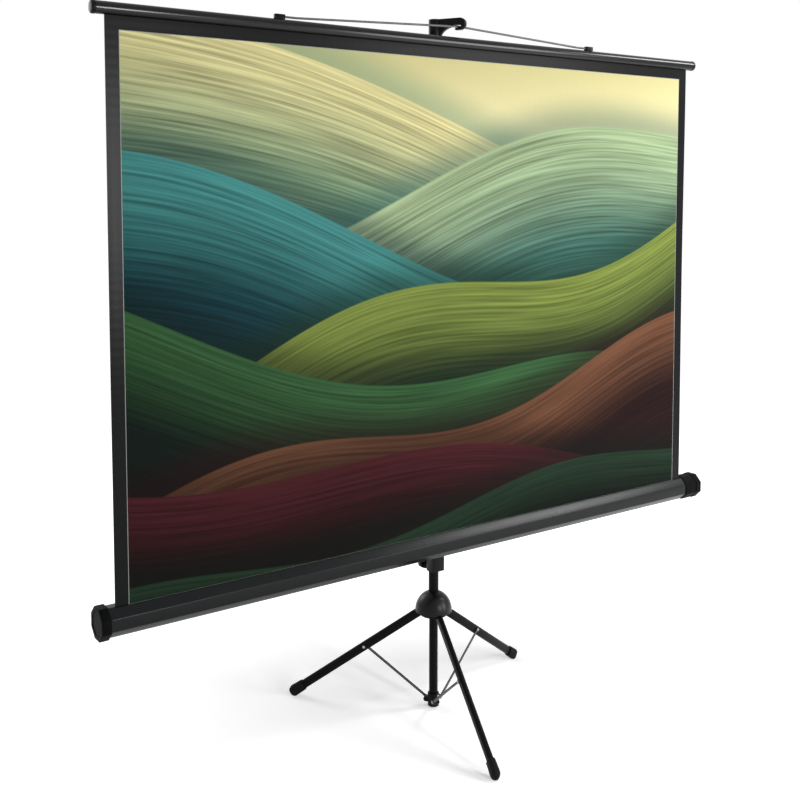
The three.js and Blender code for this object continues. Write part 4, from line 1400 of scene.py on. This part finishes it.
@dataclass
class Tripod:
    """The hub under its dome, three legs on rubber feet, their braces and the collar on the rod."""

    shop: Workshop
    dome_radius: float = 46 * MM
    dome_height: float = 49 * MM
    dome_wall: float = 2.5 * MM
    neck: float = 12.8 * MM  # where the mast passes the dome
    leg_depth: float = 22 * MM
    leg_width: float = 13.5 * MM
    leg_corner: float = 6 * MM
    leg_tail: float = 6.5 * MM  # past its hinge pin
    leg_room: float = 0.5 * MM  # at either side, in the dome
    leg_rise: float = 1 * MM  # over a leg, in the dome
    foot_wall: float = 2.7 * MM
    foot_length: float = 40 * MM
    foot_sole: float = 8 * MM
    foot_corner: float = 7 * MM
    foot_trim: float = 4 * MM  # ground flat at the sole's lower edge
    foot_press: float = 0.8 * MM  # how far the round end is flattened by the floor
    foot_waist: float = 0.93  # of its mouth against its sole
    foot_rim: float = 1 * MM

    def build(self) -> None:
        """Makes the dome, the legs, the feet and the steel."""
        self._dome()
        for leg in Leg:
            self._leg(leg)
            self._foot(leg)
            word = leg.value
            self.shop.soften_nodes(
                [f"leg_brace_{word}"], f"brace_{word}", Slot.STEEL, 0.5 * MM, finish=STEEL_STRIP
            )
            self.shop.soften_nodes([f"brace_rivet_{word}"], f"brace_{word}", Slot.STEEL, 0.9 * MM, 3)
            self.shop.soften_nodes([f"leg_rivet_{word}"], f"leg_{word}", Slot.STEEL, 0.9 * MM, 3)
            self.shop.soften_nodes([f"leg_pin_{word}"], "mast", Slot.STEEL, 0.6 * MM, 3)
        self.shop.soften_nodes(["hub_core"], "mast", Slot.PLASTIC, 1 * MM)
        self.shop.soften_nodes(["spreader_collar"], "base", Slot.PLASTIC, 1 * MM)
        self.shop.soften_nodes(["collar_rivet"], "base", Slot.STEEL, 0.9 * MM, 3)

    def _frame(self, leg: Leg) -> Matrix:
        """A leg's own frame on its hinge, with the leg running down its -Z.

        Args:
            leg: The leg.

        Returns:
            The frame.
        """
        hinge = self.shop.joints[f"leg_hinge_{leg.value}"]
        rivet = self.shop.joints[f"brace_hinge_{leg.value}"]
        origin = Vector(hinge["pos_m"])
        up = (origin - Vector(rivet["pos_m"])).normalized()
        across = Vector(hinge["axis"]).normalized()
        turned = Matrix((across.cross(up), across, up)).transposed()
        return Matrix.Translation(origin) @ turned.to_4x4()

    def _reach(self, leg: Leg) -> float:
        """From a leg's hinge to the end of its foot, so that the trimmed sole stands on the floor."""
        frame = self._frame(leg)
        lean = frame.col[2].z
        half = self.leg_depth / 2 + FIT + self.foot_wall
        return (frame.translation.z - half * math.sqrt(1 - lean * lean) + self.foot_trim) / lean

    def _dome(self) -> None:
        """The moulded dome over the hub, with a slot for each leg."""
        bm = bmesh.new()
        bmesh.ops.create_uvsphere(bm, u_segments=ROUND_STEPS, v_segments=ROUND_STEPS // 2, radius=1.0)
        bmesh.ops.scale(bm, vec=(self.dome_radius, self.dome_radius, self.dome_height), verts=bm.verts)
        neck_z = self.dome_height * math.sqrt(1 - (self.neck / self.dome_radius) ** 2)
        for height, side in ((0.0, -1), (neck_z, 1)):
            bmesh.ops.bisect_plane(
                bm,
                geom=bm.verts[:] + bm.edges[:] + bm.faces[:],
                plane_co=(0, 0, height),
                plane_no=(0, 0, side),
                clear_outer=True,
            )
        mast = self.shop.middle("mast_tube")
        bmesh.ops.translate(bm, vec=(mast.x, mast.y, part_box("hub_dome")[1].z - neck_z), verts=bm.verts)
        dome = self.shop.deliver("hub_cover", bm, "mast", Slot.PLASTIC, ["hub_dome"], POLISHED_ABS)
        thickness = dome.modifiers.new("wall", "SOLIDIFY")
        thickness.thickness = self.dome_wall
        thickness.offset = -1
        keep_modifiers(dome)
        combine(dome, [self._leg_room(leg) for leg in Leg], Join.CUT)

    def _leg_room(self, leg: Leg) -> bmesh.types.BMesh:
        """The space that a leg needs in the dome.

        Args:
            leg: The leg.

        Returns:
            A box in place.
        """
        far = 2 * self.dome_radius
        above = self.leg_depth / 2 + self.leg_rise
        size = Vector((far + above, self.leg_width + 2 * self.leg_room, far - self.leg_tail))
        centre = Vector(((above - far) / 2, 0, -(far + self.leg_tail) / 2))
        return set_down(block(size, centre), self._frame(leg))

    def _leg(self, leg: Leg) -> None:
        """An oval leg tube.

        Args:
            leg: The leg.
        """
        end = self._reach(leg) - self.foot_sole - FIT
        bm = oval_bar(self.leg_depth, self.leg_width, self.leg_corner, -end, self.leg_tail)
        soften(bm, 0.6 * MM)
        set_down(bm, self._frame(leg))
        word = leg.value
        self.shop.deliver(f"leg_{word}_pole", bm, f"leg_{word}", Slot.PAINT, [f"leg_tube_{word}"])

    def _foot(self, leg: Leg) -> None:
        """A rubber boot over a leg's end, ground flat on the floor.

        Args:
            leg: The leg.
        """
        frame = self._frame(leg)
        half = self.leg_depth / 2 + FIT + self.foot_wall
        width = self.leg_width + 2 * (FIT + self.foot_wall)
        sole = -(frame.translation.z - half + self.foot_press) / frame.col[2].z
        bm = oval_bar(2 * half, width, self.foot_corner, sole, self.foot_length - self._reach(leg))
        mouth = [vert for vert in bm.verts if vert.co.z > sole + WELD]
        bmesh.ops.scale(bm, vec=(self.foot_waist, self.foot_waist, 1.0), verts=mouth)
        soften(bm, self.foot_rim, where=lambda edge: min(v.co.z for v in edge.verts) > sole + WELD)
        round_off(bm, [min(bm.faces, key=lambda face: face.calc_center_median().z)], half)
        set_down(bm, frame)
        cut = bmesh.ops.bisect_plane(
            bm,
            geom=bm.verts[:] + bm.edges[:] + bm.faces[:],
            plane_co=(0, 0, 0),
            plane_no=(0, 0, -1),
            clear_outer=True,
        )["geom_cut"]
        rim = [item for item in cut if isinstance(item, bmesh.types.BMEdge)]
        bmesh.ops.holes_fill(bm, edges=rim, sides=0)
        bmesh.ops.recalc_face_normals(bm, faces=bm.faces)
        word = leg.value
        self.shop.deliver(f"foot_{word}", bm, f"leg_{word}", Slot.RUBBER, [f"leg_foot_{word}"])


@dataclass(frozen=True)
class Softbox:
    """A rectangular lamp that points at the screen."""

    name: str
    place: tuple[float, float, float]
    target: tuple[float, float, float]
    size: tuple[float, float]
    power: float  # watts

    def build(self) -> None:
        """Hangs the lamp."""
        lamp = bpy.data.lights.new(self.name, "AREA")
        lamp.shape = "RECTANGLE"
        lamp.size, lamp.size_y = self.size
        lamp.energy = self.power
        holder = bpy.data.objects.new(self.name, lamp)
        holder.location = self.place
        holder.rotation_euler = (Vector(self.target) - Vector(self.place)).to_track_quat("-Z", "Y").to_euler()
        bpy.context.scene.collection.objects.link(holder)


@dataclass
class Studio:
    """A pale floor, a white surround, softboxes and the camera at the photograph's angle."""

    camera_place: tuple[float, float, float] = (-1.6036, -2.0662, 1.3047)
    camera_yaw: float = math.radians(35.032)  # to the right of +Y
    camera_pitch: float = math.radians(3.922)  # downwards
    focal_pixels: float = 1074.3
    frame_pixels: float = 800
    sensor: float = 36  # millimetres
    camera_shift: float = -0.17
    floor_size: float = 60
    floor_glow: tuple[float, float] = (0.36, 0.9)  # near the object and far from it
    glow_reach: tuple[float, float] = (0.3, 1.5)  # where it starts to rise and where it is full
    fill: float = 0.21  # strength of the surround as light
    lamps: tuple[Softbox, ...] = (
        Softbox("front_softbox", (0.33, -3.18, 1.3), (-0.1, 0.0, 1.2), (0.3, 1.15), 46),
        Softbox("side_softbox", (2.05, -2.6, 1.3), (0.0, 0.0, 1.3), (1.1, 1.7), 70),
        Softbox("right_softbox", (2.0, -0.76, 2.28), (2.0, 0.3, 0.4), (1.2, 0.4), 34),
        Softbox("back_softbox", (-1.0, 3.2, 2.0), (0.0, 0.0, 0.9), (1.6, 1.6), 40),
    )

    def build(self) -> None:
        """Sets up floor, light and camera."""
        self._surround()
        self._floor()
        for lamp in self.lamps:
            lamp.build()
        self._camera()
        bpy.context.scene.view_settings.view_transform = "Standard"

    def _surround(self) -> None:
        """A white surround for the eye and for reflections, dimmer as light."""
        world = bpy.data.worlds.new("studio")
        world.use_nodes = True
        tree = world.node_tree
        tree.nodes.clear()
        seen = self._seen(tree)
        light = add_node(tree, "ShaderNodeBackground", {"Color": linear("#ffffff"), "Strength": self.fill})
        white = add_node(tree, "ShaderNodeBackground", {"Color": linear("#ffffff"), "Strength": 1.0})
        mixed = add_node(tree, "ShaderNodeMixShader", {0: seen, 1: light.outputs[0], 2: white.outputs[0]})
        add_node(tree, "ShaderNodeOutputWorld", {"Surface": mixed.outputs[0]})
        bpy.context.scene.world = world

    @staticmethod
    def _seen(tree: bpy.types.NodeTree) -> bpy.types.NodeSocket:
        """A socket that is 1 for what the camera, a gloss or glass sees.

        Args:
            tree: The node tree.

        Returns:
            The socket.
        """
        path = add_node(tree, "ShaderNodeLightPath").outputs
        gloss = add_node(
            tree, "ShaderNodeMath", {0: path["Is Camera Ray"], 1: path["Is Glossy Ray"]}, operation="MAXIMUM"
        )
        return add_node(
            tree, "ShaderNodeMath", {0: gloss.outputs[0], 1: path["Is Transmission Ray"]}, operation="MAXIMUM"
        ).outputs[0]

    def _floor(self) -> None:
        """A white floor that keeps a soft shadow and meets the surround without a line."""
        bm = bmesh.new()
        bmesh.ops.create_grid(bm, x_segments=1, y_segments=1, size=self.floor_size / 2)
        mesh = bpy.data.meshes.new("floor")
        bm.to_mesh(mesh)
        bm.free()
        material, tree = blank_material("white_floor")
        seen = self._seen(tree)
        place = add_node(tree, "ShaderNodeTexCoord").outputs["Object"]
        away = add_node(tree, "ShaderNodeVectorMath", {0: place}, operation="LENGTH")
        rise = add_node(
            tree,
            "ShaderNodeMapRange",
            {
                "Value": away.outputs["Value"],
                "From Min": self.glow_reach[0],
                "From Max": self.glow_reach[1],
                "To Min": self.floor_glow[0],
                "To Max": self.floor_glow[1],
            },
        )
        glow = add_node(tree, "ShaderNodeMath", {0: seen, 1: rise.outputs[0]}, operation="MULTIPLY")
        paint = add_node(
            tree,
            "ShaderNodeBsdfPrincipled",
            {
                "Base Color": linear("#f4f4f4"),
                "Roughness": 0.9,
                "Specular IOR Level": 0.0,
                "Emission Color": linear("#ffffff"),
                "Emission Strength": glow.outputs[0],
            },
        )
        add_node(tree, "ShaderNodeOutputMaterial", {"Surface": paint.outputs[0]})
        mesh.materials.append(material)
        floor = bpy.data.objects.new("floor", mesh)
        bpy.context.scene.collection.objects.link(floor)
        floor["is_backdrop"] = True

    def _camera(self) -> None:
        """The camera, a little turned down, with the rest of the framing in its shift."""
        data = bpy.data.cameras.new("camera")
        data.sensor_width = self.sensor
        data.lens = self.focal_pixels / self.frame_pixels * self.sensor
        data.shift_y = self.camera_shift
        camera = bpy.data.objects.new("camera", data)
        camera.location = self.camera_place
        camera.rotation_euler = (math.pi / 2 - self.camera_pitch, 0, -self.camera_yaw)
        bpy.context.scene.collection.objects.link(camera)
        bpy.context.scene.camera = camera


def main() -> None:
    """Loads the frame and builds the studio and every sub-assembly."""
    logging.basicConfig(level=logging.INFO, format="%(message)s")
    shop = Workshop()
    Studio().build()
    top_bar = TopBar(shop)
    top_bar.build()
    ScreenCase(shop).build()
    ScreenSheet(shop).build()
    Mast(shop, top_bar.apex()).build()
    Tripod(shop).build()


if __name__ == "__main__":
    main()
